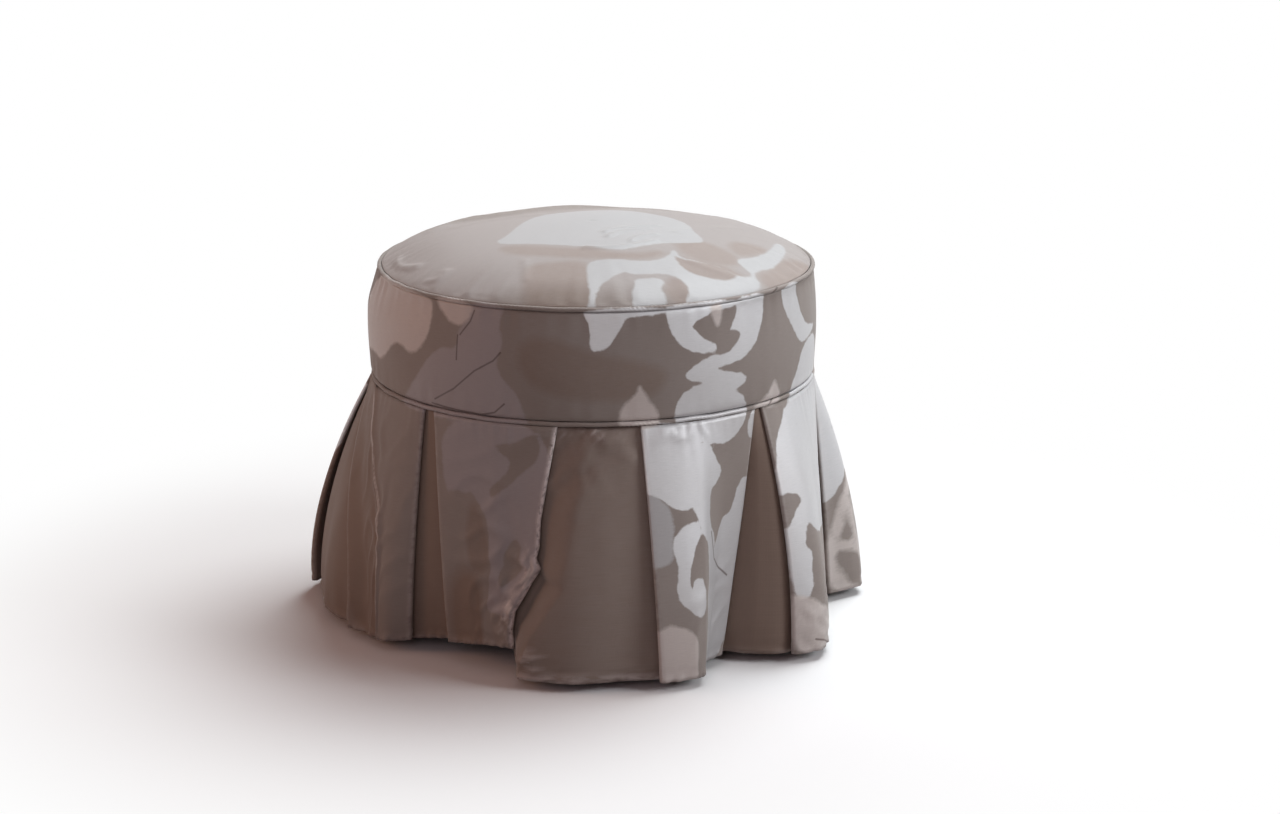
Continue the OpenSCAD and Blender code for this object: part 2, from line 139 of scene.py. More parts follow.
def aimed(place, target):
    # Turn that points a lamp's -Z from its place to the target
    direction = [b - a for a, b in zip(place, target)]
    flat = math.hypot(direction[0], direction[1])
    return (math.atan2(flat, -direction[2]), 0, math.atan2(direction[1], direction[0]) - math.pi / 2)


def seenRays(tree):
    # Two switches, 1 or 0: on for the camera's rays alone, and on for those and for the rays that
    # a glossy or clear surface sends on
    rays = tree.nodes.new("ShaderNodeLightPath").outputs
    most = {"operation": "MAXIMUM"}
    sent = addNode(tree, "Math", settings=most, i0=rays["Is Glossy Ray"], i1=rays["Is Transmission Ray"])
    return rays["Is Camera Ray"], addNode(tree, "Math", settings=most, i0=rays["Is Camera Ray"], i1=sent)


def addLamps():
    for name, place, size, power, colour in studio["lamps"]:
        data = bpy.data.lights.new(name, "AREA")
        data.shape = "DISK"
        data.size = size
        data.energy = power
        data.color = colour
        obj = addObject(name, data)
        obj.location = place
        obj.rotation_euler = aimed(place, studio["aim"])
    world = bpy.data.worlds.new("studio")
    world.use_nodes = True
    tree = world.node_tree
    background = tree.nodes["Background"]
    background.inputs["Color"].default_value = studio["worldColour"]
    background.inputs["Strength"].default_value = studio["worldStrength"]
    # The camera, glass and metal see plain white beyond the floor
    backdrop = addNode(tree, "Background", Color=(1, 1, 1, 1))
    join = addNode(tree, "MixShader", i0=seenRays(tree)[1], i1=background.outputs[0], i2=backdrop)
    tree.links.new(join, tree.nodes["World Output"].inputs["Surface"])
    bpy.context.scene.world = world


def addFloor():
    half = studio["floorSize"] / 2
    corners = [(-half, -half, 0), (half, -half, 0), (half, half, 0), (-half, half, 0)]
    mesh = bpy.data.meshes.new("floor")
    mesh.from_pydata(corners, [], [(0, 1, 2, 3)])
    addObject("floor", mesh)
    f = Finish("paleFloor", Roughness=studio["floorRough"], Specular_IOR_Level=studio["floorGloss"])
    byCamera, seen = seenRays(f.tree)
    f.finish(f.blend(byCamera, studio["floorUnseen"], studio["floorColour"]))
    # Away from the stool the floor turns into plain white for the camera, glass and metal
    place = f.add("TexCoord", output="Object")
    length = f.add("VectorMath", output="Value", settings={"operation": "LENGTH"}, i0=place)
    away = f.add("MapRange", settings={"interpolation_type": "SMOOTHSTEP"}, Value=length,
                 From_Min=studio["floorNear"], From_Max=studio["floorFar"])
    join = f.add("MixShader", i0=f.calc("MULTIPLY", away, seen), i1=f.shader.outputs[0],
                 i2=f.add("Emission"))
    f.tree.links.new(join, f.tree.nodes["Material Output"].inputs["Surface"])
    mesh.materials.append(f.material)


# Materials: each is a small tree of nodes on Object coordinates, or on the cloth's own UV map in metres

class Finish:
    # A material with its shader, and short ways to add the nodes that most finishes share
    def __init__(self, name, **fixed):
        self.material = bpy.data.materials.new(name)
        self.material.use_nodes = True
        self.tree = self.material.node_tree
        self.shader = self.tree.nodes["Principled BSDF"]
        for socket, value in fixed.items():
            self.shader.inputs[socket.replace("_", " ")].default_value = value

    def add(self, kind, output=0, settings=None, **inputs):
        return addNode(self.tree, kind, output, settings, **inputs)

    def calc(self, operation, a, b=0.0, c=0.0):
        return self.add("Math", settings={"operation": operation}, i0=a, i1=b, i2=c)

    def blend(self, share, a, b, way="MIX"):
        settings = {"data_type": "RGBA", "blend_type": way}
        return self.add("Mix", output=2, settings=settings, i0=share, i6=a, i7=b)

    def split(self, vector, axis):
        return self.add("SeparateXYZ", output=axis, Vector=vector)

    def ramp(self, value, low, high, lowTo=0.0, highTo=1.0):
        return self.add("MapRange", Value=value, From_Min=low, From_Max=high, To_Min=lowTo, To_Max=highTo)

    def level(self, noise, low=0.0, high=1.0):
        # Noise lies mostly from 0.3 to 0.7, and is spread here from low to high
        return self.ramp(noise, 0.3, 0.7, low, high)

    def place(self, scale=(1, 1, 1), uv=False):
        if uv:
            vector = self.add("UVMap", settings={"uv_map": "cloth"})
        else:
            vector = self.add("TexCoord", output="Object")
        return self.add("Mapping", Vector=vector, Scale=scale)

    def noise(self, vector, scale=1.0, detail=2.0, rough=0.5):
        return self.add("TexNoise", output="Fac", Vector=vector, Scale=scale, Detail=detail, Roughness=rough)

    def spread(self, noise, size):
        # A noise of 0 to 1 turned into minus to plus half the size
        return self.calc("MULTIPLY", self.calc("SUBTRACT", noise, 0.5), size)

    def threads(self, vector, axis, pitch):
        # Rounded ridges across one axis, a pitch apart: 0 in the grooves and 1 on top
        wave = self.calc("SINE", self.calc("MULTIPLY", self.split(vector, axis), math.pi / pitch))
        return self.calc("ABSOLUTE", wave)

    def finish(self, colour=None, rough=None, height=None, distance=0.3 * mm, strength=0.5):
        if colour is not None:
            self.tree.links.new(colour, self.shader.inputs["Base Color"])
        if rough is not None:
            self.tree.links.new(rough, self.shader.inputs["Roughness"])
        if height is not None:
            bump = self.add("Bump", Height=height, Distance=distance, Strength=strength)
            self.tree.links.new(bump, self.shader.inputs["Normal"])
        return self.material


damaskLook = {
    "ground": (0.285, 0.245, 0.222, 1),
    "groundWorn": (0.325, 0.285, 0.262, 1),
    # painted sheen: the satin motif on the sides is set brighter than the same motif as pearl on the top,
    # standing for its sheen where the sides catch the lamps
    "silver": (0.620, 0.625, 0.640, 1),
    "silverWorn": (0.560, 0.555, 0.560, 1),
    "silverMetal": 0.30,
    "pearl": (0.470, 0.468, 0.470, 1),
    # painted shade: the satin motif darkened and warmed into this copy for the front's left, where it lies
    # in shadow
    "shadedMotif": (0.358, 0.318, 0.322, 1),
    "leaf": (0.620, 0.568, 0.538, 1),
    # painted light: a paler ground laid over nearly all the top, standing for the strong light and sheen on
    # it
    "paintedTopLight": (0.405, 0.368, 0.352, 1),
    # multiplies the ground where shade is painted (the skirt's underlays, its far and lower left, the band's
    # front) and in the darker tones of the top's pattern
    "darkToneAndShadeTint": (0.80, 0.68, 0.60, 1),
    "darkLineTint": (0.42, 0.37, 0.36, 1),
    # painted highlight: the pale colour along the fold lips, the hem and the crumples' ridges, standing for
    # light caught on those edges
    "edgeHighlightColour": (0.80, 0.73, 0.71, 1),
    "edgeHighlightShare": 0.75,
    # millimetres on the cloth: half the width of each tone's soft edge
    "edges": {"silver": 0.8, "pearl": 1.5, "shadedMotif": 1.5, "leaf": 2, "paintedTopLight": 14, "darkToneAndPaintedShade": 9},
    # shadeDepth caps the drawn outlines at part of the tint; deepShade gives the full painted shade to the
    # underlays and to the skirt's far and lower left
    "shadeDepth": 1.5,  # how far a drawn shade counts as inside, so that it stays part of a full one
    "deepShade": 12,  # the same for the full shade of the underlays
    "frayScale": 900,
    "fray": 1.6,
    "raggedScale": 105,
    "ragged": 4.5,
    "repeat": 754,
    "warpPitch": 0.55 * mm,
    "weftPitch": 0.75 * mm,
    "slubScale": (90, 2600, 1),
    "streakScale": (2200, 60, 1),
    "groundRough": 0.68,
    "satinRough": 0.45,
    "darkLines": [
        # thin dark lines drawn on the cloth: points u, v, all with one half width
        [(-122, 379), (-126, 368), (-138, 353)],
        [(-141, 352), (-142, 327)],
        [(-172, 281), (-146, 296), (-120, 318), (-98, 331), (-90, 340)],
        [(-177, 276), (-146, 274), (-113, 273), (-98, 277), (-87, 287)],
        [(130, 161), (141, 133), (158, 121), (175, 110)],
        [(219, 42), (231, 38), (246, 29)],
        [(207, 24), (214, 20), (222, 17)],
    ],
    "darkLineHalf": 0.9,
}


def darkLineShare(f, uv):
    # 1 on the drawn dark lines: the least distance to their straight pieces, on the repeat of the cloth
    look = damaskLook
    half = look["repeat"] * mm / 2
    point = f.add("CombineXYZ", X=f.calc("WRAP", f.split(uv, "X"), half, -half), Y=f.split(uv, "Y"))
    taken, dot, apart = [{"operation": name} for name in ("SUBTRACT", "DOT_PRODUCT", "DISTANCE")]
    nearest = None
    for darkLine in look["darkLines"]:
        for a, b in zip(darkLine[:-1], darkLine[1:]):
            start = (a[0] * mm, a[1] * mm, 0)
            line = ((b[0] - a[0]) * mm, (b[1] - a[1]) * mm, 0)
            fromStart = f.add("VectorMath", settings=taken, i0=point, i1=start)
            along = f.add("VectorMath", output=1, settings=dot, i0=fromStart, i1=line)
            share = f.ramp(along, 0, line[0] ** 2 + line[1] ** 2)
            foot = f.add("VectorMath", settings={"operation": "SCALE"}, i0=line, Scale=share)
            away = f.add("VectorMath", output=1, settings=apart, i0=fromStart, i1=foot)
            nearest = away if nearest is None else f.calc("MINIMUM", nearest, away)
    return f.ramp(nearest, 1.6 * look["darkLineHalf"] * mm, 0.4 * look["darkLineHalf"] * mm)


def damaskFinish():
    # Each drawn depth, frayed by noise, becomes the soft-edged share of its tone over a cloudy ground.
    # Motifs are satin, smoother and with warp threads on top, and the ground is ribbed
    look = damaskLook
    f = Finish("damask", Sheen_Weight=0.22, Sheen_Roughness=0.45, Specular_IOR_Level=0.36)
    uv = f.place(uv=True)
    fray = f.calc("ADD", f.spread(f.noise(uv, look["frayScale"], 1), look["fray"]),
                  f.spread(f.noise(uv, look["raggedScale"], 2, 0.6), look["ragged"]))
    shares = {}
    for kind, edge in look["edges"].items():
        depth = f.add("Attribute", output="Fac", settings={"attribute_name": kind})
        shares[kind] = f.ramp(f.calc("ADD", depth, fray), -edge, edge)
    cloud = f.level(f.noise(f.place(), 9, 3))
    slubs = f.noise(f.place(look["slubScale"], uv=True), 1, 2)
    streaks = f.noise(f.place(look["streakScale"], uv=True), 1, 2)
    ground = f.blend(cloud, look["ground"], look["groundWorn"])
    # painted light: the top's ground made paler
    ground = f.blend(shares["paintedTopLight"], ground, look["paintedTopLight"])
    # painted shade: the ground is multiplied by the tint where the cloth stands in for lying in shadow, and
    # in the top's darker pattern tones
    ground = f.blend(shares["darkToneAndPaintedShade"], ground, look["darkToneAndShadeTint"], "MULTIPLY")
    silver = f.blend(cloud, look["silver"], look["silverWorn"])
    colour = f.blend(shares["silver"], ground, silver)
    anyMotif = shares["silver"]
    for kind in ("pearl", "shadedMotif", "leaf"):
        colour = f.blend(shares[kind], colour, look[kind])
        anyMotif = f.calc("MAXIMUM", anyMotif, shares[kind])
    colour = f.blend(darkLineShare(f, uv), colour, look["darkLineTint"], "MULTIPLY")
    # painted highlight along the lips, the hem and the ridges, broken up by noise
    highlight = f.add("Attribute", output="Fac", settings={"attribute_name": "paintedHighlight"})
    highlight = f.calc("MULTIPLY", highlight, look["edgeHighlightShare"])
    highlight = f.calc("MULTIPLY", highlight, f.ramp(f.noise(uv, 160, 3), 0.32, 0.56))
    colour = f.blend(highlight, colour, look["edgeHighlightColour"])
    thread = f.calc("ADD", f.level(slubs, 0.94, 1.05), f.level(streaks, -0.02, 0.02))
    colour = f.add("VectorMath", settings={"operation": "SCALE"}, i0=colour, Scale=thread)
    rough = f.ramp(anyMotif, 0, 1, look["groundRough"], look["satinRough"])
    rough = f.calc("ADD", rough, f.level(streaks, -0.03, 0.03))
    metal = f.calc("MULTIPLY", shares["silver"], look["silverMetal"])
    f.tree.links.new(metal, f.shader.inputs["Metallic"])
    rib = f.threads(uv, "Y", look["weftPitch"])
    warp = f.threads(uv, "X", look["warpPitch"])
    weave = f.calc("MULTIPLY", rib, f.ramp(warp, 0, 1, 0.55, 1))
    satin = f.ramp(warp, 0, 1, 0.7, 1.05)
    height = f.add("Mix", settings={"data_type": "FLOAT"}, i0=anyMotif, i2=weave, i3=satin)
    height = f.calc("ADD", height, f.level(slubs, -0.3, 0.3))
    return f.finish(colour, rough, height, 0.12 * mm, 0.6)


def clothFinish(name, dark, light, pitch, depth, rough=0.85, sheen=0.2):
    # Plain weave: warp ribs on one axis, weft ribs on the other, over and under by turns
    f = Finish(name, Sheen_Weight=sheen, Sheen_Roughness=0.5, Specular_IOR_Level=0.25)
    plane = f.place(uv=True)
    warp = f.threads(plane, "X", pitch)
    weft = f.threads(plane, "Y", pitch)
    over = f.ramp(f.calc("MULTIPLY", warp, weft), 0.1, 0.8)
    cloud = f.noise(plane, 25, 3)
    slub = f.noise(f.place((0.08 / pitch, 1 / pitch, 1), uv=True), 1, 2)
    uneven = f.calc("MULTIPLY", f.calc("ADD", cloud, slub), 0.25)
    colour = f.blend(f.calc("ADD", f.calc("MULTIPLY", over, 0.55), uneven), dark, light)
    return f.finish(colour, f.level(slub, rough - 0.06, rough + 0.06), over, depth, 0.8)


def fluffFinish(name, dark, light, scale, depth):
    # Soft lumps with fine fibres over them
    f = Finish(name, Roughness=0.95, Sheen_Weight=0.35, Sheen_Roughness=0.6, Specular_IOR_Level=0.1)
    place = f.place()
    coarse = f.noise(place, scale, 4, 0.65)
    fibres = f.noise(place, scale * 9, 5, 0.7)
    share = f.calc("MULTIPLY", f.calc("ADD", coarse, fibres), 0.6)
    return f.finish(f.blend(share, dark, light), None, f.calc("ADD", coarse, fibres), depth, 0.7)


def foamFinish():
    # Small open cells, with larger patches of deeper yellow
    f = Finish("foam", Roughness=0.9, Specular_IOR_Level=0.15, Subsurface_Weight=0.05)
    place = f.place()
    cells = f.add("TexVoronoi", output="Distance", Vector=place, Scale=700.0)
    blocks = f.noise(place, 14, 2)
    share = f.calc("ADD", f.calc("MULTIPLY", cells, 0.6), f.calc("MULTIPLY", blocks, 0.5))
    colour = f.blend(share, (0.62, 0.52, 0.27, 1), (0.86, 0.79, 0.55, 1))
    return f.finish(colour, None, cells, 0.5 * mm, 0.8)


def woodFinish(name, dark, light, along, rough=0.55, layers=None):
    # Grain is noise stretched along one axis. Plywood also shows its veneers where a face stands upright
    stretch = {"X": (3, 60, 60), "Y": (60, 3, 60), "Z": (60, 60, 3)}[along]
    fine = tuple(12 * s for s in stretch)
    f = Finish(name, Specular_IOR_Level=0.35)
    grain = f.noise(f.place(stretch), 1, 4, 0.6)
    pore = f.noise(f.place(fine), 1, 2, 0.7)
    share = f.ramp(f.calc("ADD", f.calc("MULTIPLY", grain, 0.7), f.calc("MULTIPLY", pore, 0.3)), 0.35, 0.65)
    colour = f.blend(share, dark, light)
    if layers:
        ply = f.calc("FRACT", f.calc("DIVIDE", f.split(f.place(), "Z"), 2 * layers))
        band = f.blend(f.ramp(ply, 0.46, 0.54), dark, light)
        facing = f.split(f.add("NewGeometry", output="Normal"), "Z")
        side = f.ramp(f.calc("ABSOLUTE", facing), 0.6, 0.4)
        edge = f.blend(f.ramp(pore, 0.35, 0.65, 0.0, 0.35), band, dark)
        colour = f.blend(side, colour, edge)
    return f.finish(colour, f.level(pore, rough - 0.07, rough + 0.07), pore, 0.15 * mm, 0.4)


def plateFinish(name, dark, light, scale, rough, depth, metal=0.0):
    # A smooth or pressed surface with mottling and small scuffs
    f = Finish(name, Metallic=metal, Specular_IOR_Level=0.45)
    place = f.place()
    mottle = f.noise(place, scale, 4, 0.6)
    scuff = f.ramp(f.noise(f.place((1, 1, 8)), scale * 3, 3), 0.52, 0.68)
    colour = f.blend(mottle, dark, light)
    uneven = f.level(mottle, rough - 0.05, rough + 0.05)
    roughness = f.calc("ADD", uneven, f.calc("MULTIPLY", scuff, 0.12))
    return f.finish(colour, roughness, f.calc("ADD", mottle, scuff), depth, 0.2)


def cordFinish(name, dark, light):
    # Fine fibres along the cord
    f = Finish(name, Roughness=0.85, Sheen_Weight=0.25, Sheen_Roughness=0.5, Specular_IOR_Level=0.2)
    fibre = f.noise(f.place((400, 5000, 1), uv=True), 1, 3)
    return f.finish(f.blend(fibre, dark, light), None, fibre, 0.1 * mm, 0.6)


webbingWeave = {
    "chevron": 4 * mm,
    "rib": 2.4 * mm,
    "stripeOff": 19 * mm,
    "stripe": 1.7 * mm,
    "soft": 0.3 * mm,
}


def webbingFinish():
    # Herringbone: slanting ribs that turn back at each chevron, with a darker stripe near both edges
    weave = webbingWeave
    f = Finish("jute_webbing", Sheen_Weight=0.15, Sheen_Roughness=0.5, Specular_IOR_Level=0.2)
    plane = f.place(uv=True)
    across = f.split(plane, "Y")
    along = f.split(plane, "X")
    slant = f.calc("ADD", along, f.calc("PINGPONG", across, weave["chevron"]))
    rib = f.ramp(f.calc("SINE", f.calc("MULTIPLY", slant, 2 * math.pi / weave["rib"])), -1, 1)
    fibre = f.noise(f.place((250, 1400, 1), uv=True), 1, 3)
    fromStripe = f.calc("ABSOLUTE", f.calc("SUBTRACT", f.calc("ABSOLUTE", across), weave["stripeOff"]))
    stripe = f.ramp(fromStripe, weave["stripe"] + weave["soft"], weave["stripe"] - weave["soft"])
    share = f.calc("ADD", f.calc("MULTIPLY", rib, 0.5), f.calc("MULTIPLY", fibre, 0.5))
    jute = f.blend(share, (0.27, 0.18, 0.09, 1), (0.55, 0.42, 0.25, 1))
    colour = f.blend(f.calc("MULTIPLY", stripe, 0.75), jute, (0.12, 0.07, 0.045, 1))
    return f.finish(colour, f.level(fibre, 0.78, 0.92), f.calc("ADD", rib, fibre), 0.5 * mm, 0.8)


# The record's material slots. Most calls give the dark and the light colour first
finishes = {
    "damask": damaskFinish(),
    "lining_cloth": clothFinish("lining_cloth", (0.24, 0.19, 0.16, 1), (0.38, 0.32, 0.27, 1),
                                0.5 * mm, 0.1 * mm),
    "wadding": fluffFinish("wadding", (0.70, 0.68, 0.64, 1), (0.90, 0.89, 0.86, 1), 60, 1.2 * mm),
    "foam": foamFinish(),
    "hessian": clothFinish("hessian", (0.20, 0.13, 0.06, 1), (0.50, 0.38, 0.22, 1),
                           2.1 * mm, 0.6 * mm, 0.9, 0.1),
    "jute_webbing": webbingFinish(),
    "piping_cord": cordFinish("piping_cord", (0.62, 0.58, 0.50, 1), (0.86, 0.83, 0.76, 1)),
    "black_cambric": clothFinish("black_cambric", (0.008, 0.008, 0.009, 1), (0.035, 0.035, 0.038, 1),
                                 0.9 * mm, 0.15 * mm, 0.8, 0.3),
    "card": plateFinish("card", (0.36, 0.26, 0.15, 1), (0.50, 0.39, 0.25, 1), 130, 0.85, 0.2 * mm),
    "plywood": woodFinish("plywood", (0.40, 0.27, 0.14, 1), (0.66, 0.51, 0.32, 1), "X", 0.6, 1.5 * mm),
    "softwood": woodFinish("softwood", (0.46, 0.29, 0.13, 1), (0.71, 0.53, 0.31, 1), "Z", 0.6),
    "hardboard": plateFinish("hardboard", (0.15, 0.085, 0.045, 1), (0.24, 0.15, 0.085, 1),
                             220, 0.6, 0.15 * mm),
    "beech": woodFinish("beech", (0.30, 0.17, 0.085, 1), (0.45, 0.28, 0.15, 1), "Z", 0.4),
    "nylon": plateFinish("nylon", (0.035, 0.032, 0.028, 1), (0.06, 0.055, 0.05, 1), 90, 0.45, 0.05 * mm),
    "plated_steel": plateFinish("plated_steel", (0.48, 0.46, 0.42, 1), (0.62, 0.61, 0.58, 1),
                                160, 0.32, 0.05 * mm, 1.0),
}
print("materials ready:", len(finishes))


def dressCadNodes():
    # Every CAD node takes its own slot's finish; the soft ones are replaced further on
    for part in frame["record"]["subparts"]:
        obj = frame["nodes"][part["node"]]
        for i in range(len(obj.material_slots)):
            obj.material_slots[i].material = finishes[part["material_slot"]]
        if not obj.material_slots:
            obj.data.materials.append(finishes[part["material_slot"]])


# Surfaces from grids

def signedVolume(points, quads, fans):
    # Six times the volume inside a closed surface: each triangle with the origin makes a small pyramid
    total = 0.0
    for a, b, c in [(quads[:, 0], quads[:, 1], quads[:, 2]), (quads[:, 0], quads[:, 2], quads[:, 3])]:
        total += np.einsum("ij,ij->", points[a], np.cross(points[b], points[c]))
    if len(fans):
        total += np.einsum("ij,ij->", points[fans[:, 0]], np.cross(points[fans[:, 1]], points[fans[:, 2]]))
    return total


def makeSurface(name, grid, closedRows=True, uv=None, fields=None, poles=None):
    # The grid (rows, columns, 3) becomes quads between neighbours. Its columns wrap round, and so do its
    # rows unless they are open: then poles, a point before the first row and one after the last, are each
    # joined to their row by a fan
    rows, columns = grid.shape[:2]
    r, c = np.meshgrid(np.arange(rows if closedRows else rows - 1), np.arange(columns), indexing="ij")
    r, c = r.ravel(), c.ravel()
    cornerRows = np.stack([r, r, r + 1, r + 1], 1)
    cornerColumns = np.stack([c, c + 1, c + 1, c], 1)
    quads = (cornerRows % rows) * columns + cornerColumns % columns
    points = grid.reshape(-1, 3)
    fans = np.zeros((0, 3), int)
    fanColumns = np.zeros((0, 3), int)
    if poles is not None:
        points = np.concatenate([points, np.asarray(poles, float).reshape(2, 3)])
        c = np.arange(columns)
        after = (c + 1) % columns
        last = (rows - 1) * columns
        first = np.stack([np.full(columns, rows * columns), after, c], 1)
        end = np.stack([np.full(columns, rows * columns + 1), last + c, last + after], 1)
        fans = np.concatenate([first, end])
        fanColumns = np.concatenate([np.stack([c, c + 1, c], 1), np.stack([c, c, c + 1], 1)])
    if signedVolume(points, quads, fans) < 0:
        quads, cornerRows, cornerColumns = quads[:, ::-1], cornerRows[:, ::-1], cornerColumns[:, ::-1]
        fans, fanColumns = fans[:, ::-1], fanColumns[:, ::-1]
    loops = np.concatenate([quads.ravel(), fans.ravel()]).astype(np.int32)
    sizes = np.concatenate([np.full(len(quads), 4), np.full(len(fans), 3)]).astype(np.int32)
    mesh = bpy.data.meshes.new(name)
    mesh.vertices.add(len(points))
    mesh.vertices.foreach_set("co", points.astype(np.float32).ravel())
    mesh.loops.add(len(loops))
    mesh.loops.foreach_set("vertex_index", loops)
    mesh.polygons.add(len(sizes))
    mesh.polygons.foreach_set("loop_start", (np.cumsum(sizes) - sizes).astype(np.int32))
    mesh.polygons.foreach_set("loop_total", sizes)
    mesh.polygons.foreach_set("use_smooth", np.ones(len(sizes), bool))
    mesh.update(calc_edges=True)
    if uv is not None:
        # The UV grid has one more row or column where the surface wraps, so that the wrap keeps its scale
        corners = uv[cornerRows, cornerColumns].reshape(-1, 2)
        if len(fans):
            fanRows = np.where(fans >= rows * columns, fans - rows * columns, 0) * (rows - 1)
            fanRows = np.where(fans >= (rows - 1) * columns, rows - 1, fanRows)
            fanRows = np.where(fans == rows * columns, 0, fanRows)
            corners = np.concatenate([corners, uv[fanRows.ravel(), fanColumns.ravel()]])
        mesh.uv_layers.new(name="cloth").data.foreach_set("uv", corners.astype(np.float32).ravel())
    for key, values in (fields or {}).items():
        flat = values.ravel()
        if poles is not None:
            flat = np.append(flat, [values[0].mean(), values[-1].mean()])
        mesh.attributes.new(key, "FLOAT", "POINT").data.foreach_set("value", flat.astype(np.float32))
    return addObject(name, mesh)


def addPiece(obj, slot, *nodes):
    obj.data.materials.append(finishes[slot])
    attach(obj, "root")
    if nodes:
        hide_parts(*nodes)
    return obj


def slopes(a, axis):
    # Differences along one axis of a grid, which wrap round when the axis is the columns
    if axis == 1:
        return np.roll(a, -1, 1) - np.roll(a, 1, 1)
    return np.gradient(a, axis=0)


def normalsOf(grid):
    # Unit normals of a grid: its two slopes crossed
    across = np.cross(slopes(grid, 1), slopes(grid, 0))
    return across / np.maximum(np.linalg.norm(across, axis=-1, keepdims=True), 1e-12)


def waves(turn, height, seed, count, around, along):
    # Sum of sine waves: each goes a whole number of times round the stool and some way along its height
    rng = np.random.default_rng(seed)
    total = 0.0
    for i in range(count):
        n = rng.integers(around[0], around[1] + 1)
        m = rng.uniform(*along) * rng.choice([-1, 1])
        total = total + np.sin(n * turn + m * height + rng.uniform(0, 2 * math.pi))
    return total * math.sqrt(2 / count)


def smoothStep(low, high, x):
    # From 0 at low to 1 at high along 3t^2 - 2t^3, level at both ends
    t = np.clip((x - low) / (high - low), 0, 1)
    return t * t * (3 - 2 * t)


def lengthsAlong(points):
    # How far along a polyline each of its points lies
    return np.concatenate([[0], np.cumsum(np.linalg.norm(np.diff(points, axis=0), axis=1))])


def closedSteps(points):
    # From each point of a closed path to the next, and from the last to the first
    return np.linalg.norm(np.roll(points, -1, -2) - points, axis=-1)


def evenLine(points, steps):
    # A polyline resampled evenly along its length, with the length at each new point
    points = np.asarray(points, float)
    lengths = lengthsAlong(points)
    at = np.linspace(0, lengths[-1], steps)
    return np.stack([np.interp(at, lengths, points[:, i]) for i in range(points.shape[1])], 1), at


def rounded(points, passes):
    # Corners cut by averaging each point with its neighbours, ends kept
    for _ in range(passes):
        between = (points[:-2] + 2 * points[1:-1] + points[2:]) / 4
        points = np.concatenate([points[:1], between, points[-1:]])
    return points
